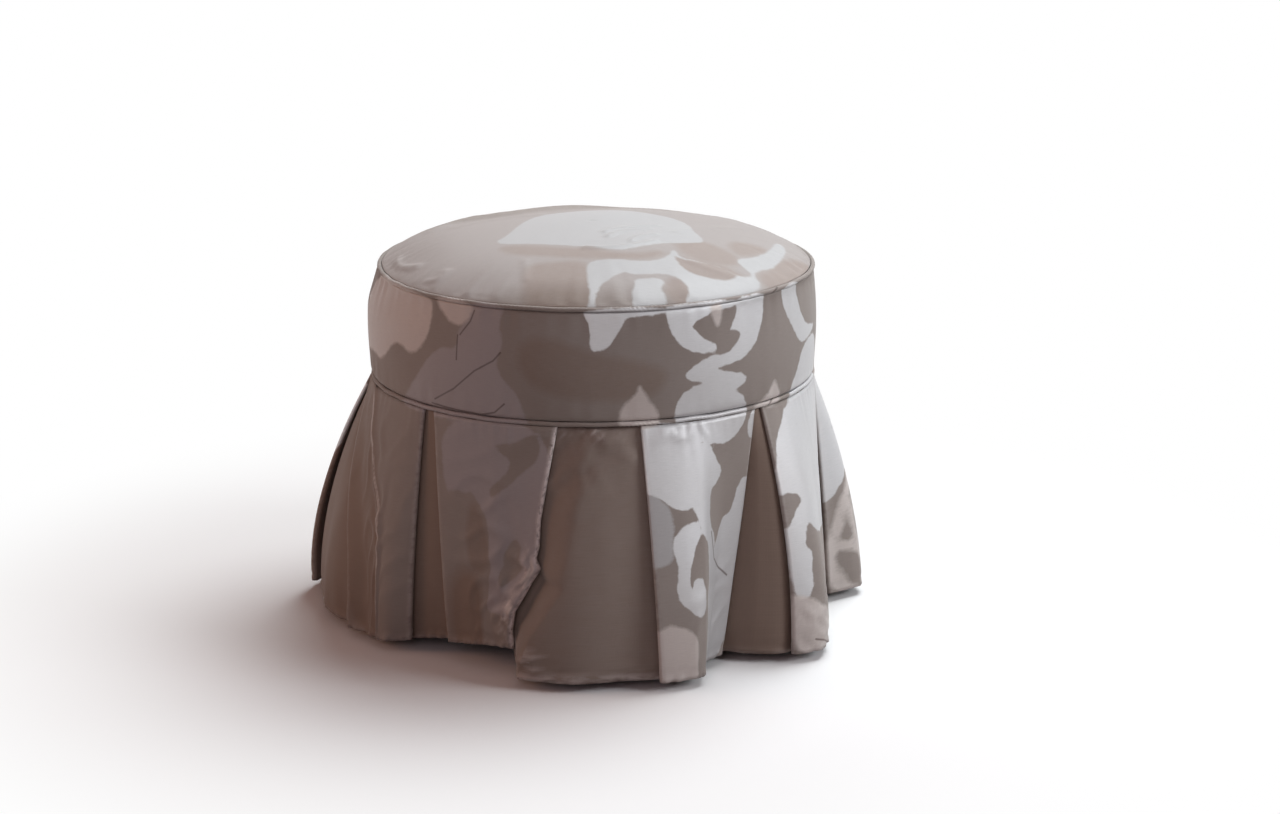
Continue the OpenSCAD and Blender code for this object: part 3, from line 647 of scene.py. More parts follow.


# The damask: closed outlines drawn on the unrolled cloth, in millimetres. On the sides u runs round
# the drum from the front to the right and v is the height above the floor, and on the top they are x and y.
# Ground cuts out what was drawn before it

damaskOutlines = {
    "side": [
        # scrolls under the top seam
        ("silver", [(-6, 388), (-4, 378), (0, 372), (2, 362), (0, 352), (4, 344), (14, 346), (21, 350),
            (28, 361), (35, 373), (38, 379), (80, 379), (80, 388)]),
        ("silver", [(78, 388), (78, 384), (82, 365), (87, 355), (95, 346), (103, 340), (112, 338),
            (122, 336), (134, 336), (136, 343), (124, 348), (118, 352), (112, 359), (106, 364),
            (112, 370), (128, 375), (131, 378), (163, 378), (163, 388)]),
        ("silver", [(160, 388), (160, 380), (163, 377), (161, 370), (152, 357), (150, 355), (160, 355),
            (167, 351), (163, 344), (157, 339), (150, 334), (140, 332), (130, 334), (120, 330),
            (110, 325), (101, 320), (98, 314), (103, 309), (112, 308), (120, 304), (110, 304),
            (101, 300), (94, 295), (90, 288), (88, 280), (88, 262), (98, 244), (127, 244), (141, 239),
            (155, 240), (165, 246), (173, 255), (176, 268), (174, 277), (169, 285), (161, 290),
            (155, 293), (163, 295), (171, 299), (173, 304), (168, 309), (157, 312), (143, 315),
            (133, 319), (150, 321), (164, 323), (175, 328), (183, 334), (190, 341), (195, 352),
            (200, 361), (203, 374), (203, 388)]),
        ("leaf", [(128, 385), (132, 366), (137, 360), (142, 368), (144, 385)]),
        ("silver", [(236, 388), (236, 374), (241, 361), (248, 350), (257, 338), (265, 328), (276, 320),
            (292, 321), (318, 326), (322, 331), (306, 334), (290, 338), (279, 348), (272, 362),
            (268, 372), (270, 388)]),
        ("silver", [(283, 316), (300, 320), (322, 322), (345, 300), (345, 260), (240, 260), (248, 268),
            (255, 279), (266, 291), (270, 300), (276, 309)]),
        # pointed leaves that stand on the skirt seam
        ("leaf", [(51, 311), (47, 300), (41, 295), (34, 288), (30, 280), (30, 264), (72, 264),
            (71, 277), (66, 287), (60, 294), (55, 302)]),
        ("leaf", [(218, 294), (213, 286), (205, 278), (186, 270), (186, 266), (229, 266), (229, 278),
            (223, 286)]),
        # left of the front: a broad soft flower over darker ground
        ("leaf", [(-350, 388), (-184, 388), (-178, 372), (-180, 353), (-187, 338), (-201, 325),
            (-214, 322), (-231, 330), (-247, 325), (-262, 312), (-280, 300), (-300, 306), (-350, 300)]),
        ("leaf", [(-172, 388), (-172, 380), (-156, 366), (-141, 361), (-128, 368), (-122, 388)]),
        # painted shade: the motif in its darkened copy
        ("shadedMotif", [(-128, 388), (-132, 368), (-141, 356), (-142, 336), (-160, 338), (-176, 328),
            (-190, 312), (-200, 300), (-214, 284), (-226, 270), (-228, 262), (-60, 262), (-66, 280),
            (-74, 300), (-88, 312), (-96, 330), (-86, 350), (-94, 370), (-84, 388)]),
        # painted shade: a soft darkening across the front of the band
        ("darkToneAndPaintedShade", [(-70, 350), (-40, 356), (0, 340), (50, 330), (78, 320), (66, 300), (30, 296),
            (-30, 300), (-64, 316)]),
        # skirt, right of the front pleat
        ("silver", [(20, 270), (92, 270), (110, 244), (127, 244), (134, 228), (146, 215), (141, 201),
            (129, 196), (126, 187), (126, 171), (128, 160), (137, 148), (142, 132), (133, 116),
            (126, 100), (124, 112), (122, 134), (117, 150), (108, 156), (106, 168), (98, 184),
            (93, 182), (82, 181), (70, 190), (58, 200), (20, 206)]),
        ("silver", [(100, 170), (86, 168), (77, 161), (71, 151), (72, 139), (75, 124), (73, 112),
            (71, 99), (76, 87), (88, 77), (98, 72), (109, 75), (113, 92), (109, 110), (98, 114),
            (91, 110), (88, 101), (85, 113), (89, 126), (94, 136), (100, 148), (108, 154), (107, 166)]),
        ("pearl", [(20, 206), (58, 200), (70, 190), (76, 170), (70, 150), (72, 128), (20, 128)]),
        ("silver", [(177, 198), (171, 176), (168, 163), (156, 163), (149, 150), (143, 136), (136, 130),
            (128, 118), (123, 100), (121, 70), (119, 40), (117, 4), (196, 4), (196, 198)]),
        ("silver", [(182, 268), (178, 250), (185, 236), (196, 240), (196, 268)]),
        ("leaf", [(20, 62), (53, 63), (61, 70), (72, 67), (85, 58), (93, 49), (94, 38), (90, 26),
            (92, 4), (20, 4)]),
        # right of the next pleat
        ("silver", [(196, 270), (382, 270), (382, 200), (374, 156), (340, 136), (300, 122), (262, 124),
            (241, 130), (233, 137), (225, 148), (216, 120), (224, 118), (222, 100), (219, 68),
            (196, 68)]),
        ("ground", [(190, 177), (206, 178), (219, 177), (223, 167), (211, 159), (206, 146),
            (190, 140)]),
        ("ground", [(318, 250), (330, 262), (346, 250), (352, 220), (340, 190), (326, 170), (318, 196),
            (314, 222)]),
        ("silver", [(300, 268), (350, 268), (352, 180), (340, 120), (318, 60), (300, 84), (286, 120),
            (292, 180)]),
        ("leaf", [(196, 73), (205, 73), (217, 68), (230, 57), (246, 46), (262, 28), (270, 4),
            (196, 4)]),
        # left of the front pleat
        # painted shade: the motif in its darkened copy
        ("shadedMotif", [(-166, 270), (-22, 270), (-22, 70), (-36, 60), (-52, 66), (-80, 62), (-92, 84),
            (-98, 110), (-101, 140), (-104, 166), (-118, 178), (-128, 190), (-137, 186), (-152, 190),
            (-166, 182)]),
        ("ground", [(-100, 243), (-76, 246), (-60, 256), (-49, 258), (-44, 232), (-57, 219), (-73, 203),
            (-86, 193), (-100, 185), (-102, 196), (-83, 210), (-76, 222), (-79, 230), (-90, 235)]),
        ("ground", [(-62, 148), (-52, 141), (-49, 120), (-55, 99), (-68, 92), (-82, 104), (-76, 124)]),
        ("leaf", [(-47, 84), (-41, 79), (-34, 75), (-38, 66), (-43, 57), (-45, 70)]),
        ("leaf", [(-38, 134), (-35, 131), (-36, 106), (-33, 92), (-36, 93), (-40, 107)]),
        ("leaf", [(-43, 118), (-41, 119), (-39, 108), (-41, 101), (-44, 104)]),
        ("darkToneAndPaintedShade", [(-130, 176), (-116, 168), (-106, 140), (-104, 112), (-128, 100), (-140, 130)]),
    ],
    # drawn over the sides' pattern only once round the cloth
    "sideOnce": [
        # painted shade over the far left, as if it lay in shadow behind a soft fold, and a painted highlight
        # along that fold's edge
        ("darkToneAndPaintedShade", [(-384, 280), (-302, 280), (-292, 216), (-272, 180), (-252, 140), (-254, 100),
            (-250, 30), (-252, 0), (-384, 0)]),
        ("leaf", [(-304, 262), (-299, 262), (-289, 214), (-268, 176), (-248, 138), (-251, 96),
            (-247, 34), (-251, 34), (-256, 98), (-253, 140), (-273, 181), (-293, 216)]),
        # painted shade over the lower left of the skirt
        ("darkToneAndPaintedShade", [(-172, 100), (-122, 106), (-98, 60), (-90, 22), (-120, 2), (-172, 2)]),
        # a lyre of thin lines under a plain leaf, at the far right
        ("silver", [(384, 272), (446, 272), (446, 150), (420, 146), (404, 130), (392, 114),
            (380, 112)]),
        ("leaf", [(426, 150), (436, 146), (409, 112), (400, 78), (393, 60), (384, 64), (391, 80),
            (399, 114)]),
        ("leaf", [(410, 118), (418, 116), (416, 70), (424, 60), (416, 53), (408, 64)]),
        ("leaf", [(436, 100), (444, 96), (428, 58), (420, 60)]),
        ("leaf", [(384, 64), (398, 68), (416, 60), (429, 40), (429, 15), (416, 3), (398, 3), (388, 18),
            (384, 40)]),
        ("ground", [(393, 54), (399, 57), (410, 51), (419, 37), (419, 19), (411, 11), (405, 11),
            (400, 26), (394, 42)]),
    ],
    "top": [
        # painted light: the top's ground paled nearly all over
        ("paintedTopLight", [(-260, 90), (-160, 70), (-110, 60), (-60, 80), (60, 110), (150, 120), (236, 60),
            (240, -110), (190, -160), (130, -206), (60, -214), (0, -206), (-40, -200), (-96, -208),
            (-260, -220)]),
        # a broad flower in the middle
        ("pearl", [(-104, -82), (-62, -94), (-14, -106), (12, -122), (34, -125), (57, -108), (72, -95),
            (96, -84), (122, -70), (108, -30), (104, 10), (78, 56), (26, 74), (-24, 68), (-64, 40),
            (-80, -10), (-88, -48)]),
        ("darkToneAndPaintedShade", [(-96, -96), (-60, -106), (-14, -118), (20, -134), (50, -134), (76, -118), (60, -142),
            (20, -146), (-10, -142), (-50, -132), (-80, -126)]),
        # a scroll over the right of the front seam
        ("pearl", [(-4, -155), (28, -148), (51, -151), (68, -145), (80, -131), (86, -106), (91, -130),
            (106, -136), (127, -137), (145, -145), (152, -150), (168, -138), (158, -124), (148, -110),
            (170, -91), (187, -58), (198, -4), (208, -20), (202, -62), (189, -104), (173, -122),
            (167, -136), (177, -152), (158, -176), (138, -192), (124, -240), (-4, -240), (2, -226),
            (-2, -190)]),
        ("darkToneAndPaintedShade", [(89, -83), (108, -64), (128, -81), (147, -99), (153, -117), (136, -130), (113, -130),
            (95, -115)]),
        ("darkToneAndPaintedShade", [(148, -52), (166, -50), (186, -54), (168, -84), (149, -95)]),
        ("ground", [(84, -124), (98, -139), (122, -136), (136, -141), (154, -151), (135, -166),
            (112, -169), (94, -159)]),
        ("darkToneAndPaintedShade", [(80, -122), (98, -135), (122, -132), (140, -137), (158, -150), (137, -170),
            (110, -173), (92, -162)]),
        ("ground", [(6, -226), (11, -204), (25, -187), (34, -175), (44, -181), (58, -178), (79, -174),
            (95, -184), (101, -199), (96, -216), (94, -240), (6, -240)]),
        ("darkToneAndPaintedShade", [(84, -182), (100, -186), (104, -199), (98, -216), (84, -214), (78, -200)]),
        ("pearl", [(45, -189), (68, -184), (77, -190), (70, -203), (79, -214), (73, -240), (46, -240),
            (42, -217), (46, -201)]),
        ("darkToneAndPaintedShade", [(172, -136), (189, -109), (195, -80), (222, -44), (240, -43), (240, -96),
            (190, -150)]),
        ("darkToneAndPaintedShade", [(-64, -196), (-61, -160), (-36, -157), (-6, -156), (0, -199), (4, -240),
            (-58, -240)]),
    ],
}
# silver, pearl and the shaded motif are one satin motif at three brightnesses: silver with painted sheen,
# pearl plain, the shaded motif with painted shade
motifKinds = ("silver", "pearl", "shadedMotif", "leaf")
# darkToneAndPaintedShade is painted shade on the skirt and the band, and darker pattern on the top
damaskKinds = motifKinds + ("paintedTopLight", "darkToneAndPaintedShade")
farOutside = -30.0


def cornerCut(outline, passes):
    # Each corner of a closed outline gives way to two points, a quarter in along its edges
    points = np.asarray(outline, float)
    for _ in range(passes):
        after = np.roll(points, -1, 0)
        points = np.stack([0.75 * points + 0.25 * after, 0.25 * points + 0.75 * after], 1).reshape(-1, 2)
    return points


def awayFrom(u, v, a, b):
    # Distance to the straight piece from a to b: its nearest point is a share of the way along it
    line = b - a
    t = np.clip(((u - a[0]) * line[0] + (v - a[1]) * line[1]) / max(line @ line, 1e-9), 0, 1)
    return np.hypot(u - a[0] - t * line[0], v - a[1] - t * line[1])


def depthInside(u, v, outline):
    # Distance to the nearest edge of a closed outline, positive inside: a line drawn from an inside point
    # to the right crosses the outline an odd number of times
    nearest = np.full(u.shape, -farOutside)
    inside = np.zeros(u.shape, bool)
    for a, b in zip(outline, np.roll(outline, -1, 0)):
        nearest = np.minimum(nearest, awayFrom(u, v, a, b))
        if a[1] != b[1]:
            crossing = a[0] + (b - a)[0] * (v - a[1]) / (b - a)[1]
            inside ^= ((a[1] > v) != (b[1] > v)) & (u < crossing)
    return np.where(inside, nearest, -nearest)


def damaskFields(u, v, outlines, period=None, plain=None, deepest=damaskLook["shadeDepth"]):
    # Depth in millimetres inside the outlines of each kind, negative outside them. The outlines repeat
    # along u after each period, and where the cloth is plain there are none
    u, v = u / mm, v / mm
    fields = {kind: np.full(u.shape, farOutside) for kind in damaskKinds}
    for kind, corners in outlines:
        outline = cornerCut(corners, 2)
        low, high = outline.min(0) + farOutside / 2, outline.max(0) - farOutside / 2
        middle = (low[0] + high[0]) / 2
        local = u if period is None else (u - middle + period / 2) % period - period / 2 + middle
        near = (local > low[0]) & (local < high[0]) & (v > low[1]) & (v < high[1])
        depth = depthInside(local[near], v[near], outline)
        if kind == "ground":
            for name in motifKinds:
                fields[name][near] = np.minimum(fields[name][near], -depth)
        else:
            fields[kind][near] = np.maximum(fields[kind][near], depth)
    fields["darkToneAndPaintedShade"] = np.minimum(fields["darkToneAndPaintedShade"], deepest)
    if plain is not None:
        fields = {kind: np.where(plain, farOutside, values) for kind, values in fields.items()}
    return fields


def creasePath(start, end, bend, steps=10):
    # A curve of the second degree: its middle stands off the straight line by the bend
    start, end = np.array(start, float), np.array(end, float)
    line = end - start
    middle = (start + end) / 2 + 2 * bend * np.array([-line[1], line[0]]) / np.hypot(*line)
    t = np.linspace(0, 1, steps + 1)[:, None]
    return (1 - t) ** 2 * start + 2 * t * (1 - t) * middle + t ** 2 * end


def creaseHeights(u, v, creases):
    # Rounded ridges along curves, in metres: each falls off as a bell with the distance from its line
    total = np.zeros(u.shape)
    for u0, v0, u1, v1, bend, rise, half in creases:
        points = creasePath((u0, v0), (u1, v1), bend)
        nearest = np.min([awayFrom(u / mm, v / mm, a, b) for a, b in zip(points[:-1], points[1:])], axis=0)
        total = total + rise * mm * np.exp(-(nearest / half) ** 2)
    return total


# Covers made by a profile carried round the stool

def clothProfile(middle, thickness):
    # Outer and inner line of a cloth whose middle line is given, as one closed loop
    tangent = np.gradient(middle, axis=0)
    normal = np.stack([tangent[:, 1], -tangent[:, 0]], 1)
    normal /= np.linalg.norm(normal, axis=1, keepdims=True)
    return middle + normal * thickness / 2, middle - normal * thickness / 2


def shellGrid(middle, thickness):
    # A cloth's middle surface (rows, columns, 3), closed round its columns, becomes a loop of rows:
    # the outer side down, then the inner side back
    offset = normalsOf(middle) * thickness / 2
    return np.concatenate([middle + offset, (middle - offset)[::-1]])


def bothSides(rows):
    # What the outer side has row by row, then the same back for the inner side
    return np.concatenate([rows, rows[::-1]])


def carriedRound(line, columns):
    # Angle from the front and place of each point of a profile (radius, height), turned round the axis
    turn = np.arange(columns) * 2 * math.pi / columns
    radius = line[:, 0][:, None] * np.ones(columns)
    height = line[:, 1][:, None] * np.ones(columns)
    return turn[None, :] * np.ones((len(line), 1)), radius, height


shoulderLook = {
    # the covers and the padding have settled inwards at the left of the top seam
    "turn": -82,  # degrees from the front
    "spread": 34,
    "lowZ": 340 * mm,
    "highZ": 392 * mm,
    "fromRadius": 150 * mm,
    "draw": 8 * mm,
}


def polarPoints(turn, radius, height):
    # Places from the angle from the front, the radius and the height, drawn in at the soft shoulder:
    # a bell round its angle, which grows with the height and with the radius
    look = shoulderLook
    degrees = (np.degrees(turn) - look["turn"] + 180) % 360 - 180
    draw = look["draw"] * np.exp(-(degrees / look["spread"]) ** 2)
    draw = draw * smoothStep(look["lowZ"], look["highZ"], height)
    radius = radius - draw * smoothStep(look["fromRadius"], stool["seamRadius"], radius)
    return np.stack([radius * np.sin(turn), -radius * np.cos(turn), height], -1)


def loopUv(along, columns, width):
    # UV of a shell's loop of rows: the outer side's lengths, then the inner side's back, one row more
    there = np.concatenate([along, along[::-1], along[:1]])
    return np.stack(np.meshgrid(np.linspace(0, width, columns + 1), there), -1)


def discUv(x, y):
    # UV of a disc's shell is x and y themselves, with the first column again at the end
    flat = np.stack([x, y], -1)
    return bothSides(np.concatenate([flat, flat[:, :1]], 1))


def bandRadius(z):
    # A straight line from the skirt seam in to the top seam, plus half a sine wave of swell
    u = (z - stool["skirtSeamZ"]) / stool["bandHeight"]
    swell = np.sin(math.pi * np.clip(u, 0, 1))
    return stool["drumRadius"] - stool["topDraw"] * u + stool["bandSwell"] * swell


crownLook = {"domeShare": 0.47, "power": 4.4, "edgePower": 0.8}
crownEdgeRadius = turningRadius[2] + stool["cloth"] / 2
crownEdgeZ = stool["topSeamZ"] + stool["weltDiameter"] / 2
# Radius and height of the middle of each welt's cord
weltD = stool["weltDiameter"]
topSeat = (stool["seamRadius"] + 0.1 * weltD, stool["topSeamZ"] + 0.1 * weltD)
skirtSeat = (stool["drumRadius"] - 0.3 * weltD, stool["skirtSeamZ"])


def crownHeight(radius):
    # A shallow dome, 1 less the square of the radius, on a rounded plateau that falls off at the top seam
    u = np.clip(radius / crownEdgeRadius, 0, 1)
    rise = stool["crownTopZ"] - crownEdgeZ
    dome = crownLook["domeShare"] * (1 - u * u)
    plateau = (1 - crownLook["domeShare"]) * (1 - u ** crownLook["power"]) ** crownLook["edgePower"]
    return crownEdgeZ + rise * (dome + plateau)


topCoverLook = {
    "rings": 96,
    "columns": 380,
    "clothOff": 3,  # metres from the sides' part of the cloth, whose drawn dark lines the top doesn't have
    "lump": 1.1 * mm,
    "lumpReach": 60 * mm,
    "lumpWaves": [(0.6, 31, 12, 1), (0.5, -17, 38, 0), (0.4, 58, -33, 2)],  # share, along x, along y, start
    "pucker": 0.7 * mm,
    "puckerReach": 26 * mm,
    "puckerFrom": 6 * mm,
    "creaseEnd": (4 * mm, 14 * mm),  # from the seam: where the creases start and are full
    "creases": [
        # start x, y, end x, y, bend, height, half width, all in millimetres
        (14, -50, 66, -15, 6, 1.8, 4.5),
        (18, -72, 58, -32, 5, 1.7, 4.5),
        (-4, -114, 66, -90, -12, 2.0, 5),
        (42, -93, 66, -60, 4, 1.4, 4),
        (-185, -105, -213, -50, 10, 2.2, 6),
        (-172, -150, -150, -142, -6, 2.0, 6),
        (-66, -148, -64, -188, 0, 1.0, 4),
        (-124, -198, -98, -211, 2, 1.4, 5),
        (103, -139, 153, -152, -4, 1.2, 5),
        (-180, 30, -120, 168, 0, 1.0, 9),
        (-150, 20, -60, 50, 6, 0.9, 7),
        (90, -40, 160, 30, 6, 0.8, 6),
    ],
}


def topCover():
    # Rings from the middle out, a crown with lumps, soft creases and small puckers that fade
    # inwards from the seam, then the turning down inside the band
    look = topCoverLook
    out = np.sin(np.linspace(0, math.pi / 2, look["rings"] + 1)[1:]) * crownEdgeRadius
    crown = np.stack([out, crownHeight(out)], 1)
    low = stool["topSeamZ"] - stool["turning"]
    inner = turningRadius[3]
    turned = np.array([[crownEdgeRadius - 0.2 * mm, crownEdgeZ - 1.2 * mm], [inner, crownEdgeZ - 2.6 * mm],
                       [inner, low + stool["turning"] / 2], [inner, low]])
    line = np.concatenate([crown, evenLine(turned, 12)[0]])
    turn, radius, height = carriedRound(line, look["columns"])
    x, y = radius * np.sin(turn), -radius * np.cos(turn)
    fromSeam = crownEdgeRadius - radius
    lumps = sum(share * np.sin(a * x + b * y + start) for share, a, b, start in look["lumpWaves"])
    lumps = look["lump"] * smoothStep(0, look["lumpReach"], fromSeam) * lumps
    fade = np.exp(-fromSeam / look["puckerReach"]) * smoothStep(0, look["puckerFrom"], fromSeam)
    uneven = 0.6 + 0.4 * waves(turn, 0, 12, 4, (2, 7), (0, 0))
    pucker = look["pucker"] * fade * waves(turn, 0, 11, 9, (28, 90), (0, 0)) * uneven
    height = height + (lumps + pucker) * (height > crownEdgeZ - 0.1 * mm)
    height = height + smoothStep(*look["creaseEnd"], fromSeam) * creaseHeights(x, y, look["creases"])
    middle = polarPoints(turn, radius, height)
    fields = {key: bothSides(value) for key, value in damaskFields(x, y, damaskOutlines["top"]).items()}
    top = float(middle[0, :, 2].mean())
    poles = [(0, 0, top + stool["cloth"] / 2), (0, 0, top - stool["cloth"] / 2)]
    obj = makeSurface("topCover", shellGrid(middle, stool["cloth"]), closedRows=False,
                      uv=discUv(x, y + look["clothOff"]), fields=fields, poles=poles)
    addPiece(obj, "damask", "top_cover")


bandLook = {
    "rows": 44,
    "columns": 620,
    "ledge": 0.85 * stool["weltDiameter"],  # the band's foot over the skirt seam
    "tailUp": 7.5 * mm,  # the tail's end over the bottom ring's underside
    "lump": 0.8 * mm,
    "pucker": 0.45 * mm,
    "lowFade": 0.10,  # shares of the band's height over which the puckers die out
    "highFade": 0.12,
    "waveStart": (0.02, 0.12),  # shares of the height where the waves set in, and where they end
    "waveEnd": (0.99, 0.93),
    "padDrop": 3 * mm,
}


def sideCover():
    # The band's profile: a tail behind the skirt, out over the skirt seam, the swelling band,
    # and two turnings at the top seam. Waves round the stool lift the band's face
    look = bandLook
    cloth, seamZ = stool["cloth"], stool["skirtSeamZ"]
    tailRadius = wallRadius + stool["gap"] + cloth / 2
    foldZ = topSeat[1] - stool["weltDiameter"] / 2 - stool["gap"] - cloth / 2
    z = np.linspace(seamZ + look["ledge"], foldZ - cloth, look["rows"])
    band = np.stack([bandRadius(z) - cloth / 2, z], 1)
    low = stool["topSeamZ"] - stool["turning"]
    tail, _ = evenLine([[tailRadius, frameLowZ + look["tailUp"]], [tailRadius, seamZ], band[0]], 12)
    fold = [[turningRadius[0], foldZ], [turningRadius[1], foldZ], [turningRadius[1], low]]
    turned, _ = evenLine([band[-1]] + fold, 14)
    line = rounded(np.concatenate([tail[:-1], band, turned[1:]]), 1)
    turn, radius, height = carriedRound(line, look["columns"])
    share = (height - seamZ) / stool["bandHeight"]
    face = smoothStep(*look["waveStart"], share) * smoothStep(*look["waveEnd"], share)
    face = face * (radius > stool["seamRadius"] - 1.5 * mm)
    radius = radius + face * look["lump"] * waves(turn, height / mm, 21, 7, (2, 9), (0.01, 0.04))
    ends = np.exp(-share / look["lowFade"]) + np.exp(-(1 - share) / look["highFade"])
    radius = radius + face * look["pucker"] * ends * waves(turn, 0, 22, 9, (40, 120), (0, 0))
    grid = shellGrid(polarPoints(turn, radius, height), cloth)
    fields = damaskFields(turn * stool["drumRadius"], height, damaskOutlines["side"], damaskLook["repeat"])
    fields = {key: bothSides(value) for key, value in fields.items()}
    along = lengthsAlong(line)
    along = along - along[len(tail)] + line[len(tail), 1]
    uv = loopUv(along, look["columns"], 2 * math.pi * stool["drumRadius"])
    obj = makeSurface("sideCover", grid, uv=uv, fields=fields)
    addPiece(obj, "damask", "side_cover")


weltLook = {
    "columns": 1440,
    "flangeSteps": 6,
    "wrapSteps": 18,
    "slit": 25,  # degrees that the wrap leaves open towards the flange
    "bias": 0.12 * mm,
    "biasWaves": 330,
    "sway": 0.15 * mm,
    "startIn": 0.3 * mm,  # where the wrap starts, from its left end and from its middle's height
    "topStartLow": 0.6 * mm,
    "skirtStartLow": 0.5 * mm,
}


def welt(name, node, seat, flange):
    # A strip of cloth that goes up as a flange and wraps round a cord. The wrap is drawn into
    # fine slanting ripples, as bias cloth is on a round seam
    look = weltLook
    sleeve = stool["weltDiameter"] / 2 - stool["coreDiameter"] / 2 - 0.1 * mm
    wrap = stool["weltDiameter"] / 2 - sleeve / 2
    deg = np.radians(180 - np.arange(look["wrapSteps"] + 1) * (360 - look["slit"]) / look["wrapSteps"])
    ringLine = np.stack([seat[0] + wrap * np.cos(deg), seat[1] + wrap * np.sin(deg)], 1)
    line = np.concatenate([evenLine(flange, look["flangeSteps"])[0], ringLine])
    outer, inner = clothProfile(line, sleeve)
    loop = np.concatenate([outer, inner[::-1]])
    onWrap = bothSides(np.concatenate([np.zeros(look["flangeSteps"]), np.ones(len(ringLine))]))[:, None]
    turn, radius, height = carriedRound(loop, look["columns"])
    angle = np.arctan2(height - seat[1], radius - seat[0])
    far = np.hypot(height - seat[1], radius - seat[0])
    ripple = np.sin(look["biasWaves"] * turn + 3 * angle) * waves(turn, 0, 31, 3, (5, 23), (0, 0))
    grow = onWrap * look["bias"] * ripple * (far > wrap)
    radius = radius + grow * np.cos(angle)
    height = height + grow * np.sin(angle) + onWrap * look["sway"] * waves(turn, 0, 32, 5, (9, 40), (0, 0))
    uv = loopUv(lengthsAlong(line), look["columns"], 2 * math.pi * seat[0])
    fields = damaskFields(turn * stool["drumRadius"], height, damaskOutlines["side"], damaskLook["repeat"])
    obj = makeSurface(name, polarPoints(turn, radius, height), uv=uv, fields=fields)
    addPiece(obj, "damask", node)


cordLook = {"columns": 1500, "sides": 12, "strands": 3, "groove": 0.16, "twists": 150}


def pipingCord(name, node):
    # A cord of three strands: its section's radius has three lobes, a cosine of the angle round the cord
    # that turns steadily as the cord goes round the stool
    look = cordLook
    low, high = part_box(node)
    radius = high[0] - stool["coreDiameter"] / 2
    middleZ = (low[2] + high[2]) / 2
    side = np.arange(look["sides"])[:, None] * 2 * math.pi / look["sides"]
    turn = np.arange(look["columns"])[None, :] * 2 * math.pi / look["columns"]
    lobes = np.abs(np.cos((look["strands"] * (side - look["twists"] / look["strands"] * turn)) / 2))
    fat = stool["coreDiameter"] / 2 * (1 - look["groove"] + look["groove"] * lobes)
    grid = polarPoints(turn, radius + fat * np.cos(side), middleZ + fat * np.sin(side))
    uv = np.stack(np.meshgrid(np.linspace(0, 2 * math.pi * radius, look["columns"] + 1),
                              np.linspace(0, math.pi * stool["coreDiameter"], look["sides"] + 1)), -1)
    addPiece(makeSurface(name, grid, uv=uv), "piping_cord", node)


def makeWelts():
    # Each flange is a line (radius, height) from its cut edge up to where the wrap starts
    look, cloth, turning, topRadius = weltLook, stool["cloth"], stool["turning"], turningRadius[2]
    welt("topWelt", "top_welt", topSeat,
         [[topRadius, stool["topSeamZ"] - turning], [topRadius, topSeat[1] - weltD / 4],
          [topSeat[0] - weltD / 2 + look["startIn"], topSeat[1] - look["topStartLow"]]])
    stripThick = 1.5 * mm
    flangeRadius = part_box("tack_strip")[1][0] - stripThick - stool["gap"] - cloth / 2
    welt("skirtWelt", "skirt_welt", skirtSeat,
         [[flangeRadius, skirtSeat[1] - turning], [flangeRadius, headingZ],
          [flangeRadius + cloth, skirtSeat[1] - weltD / 6],
          [skirtSeat[0] - weltD / 2 + look["startIn"], skirtSeat[1] - look["skirtStartLow"]]])
    pipingCord("topWeltCord", "top_welt_cord")
    pipingCord("skirtWeltCord", "skirt_welt_cord")


# The skirt: eight inverted box pleats, with the part's own sizes. The tables have one row for each pleat.
# Lips are shares of the pleats' pitch, middles of the underlay's width and outs of the flare at the hem

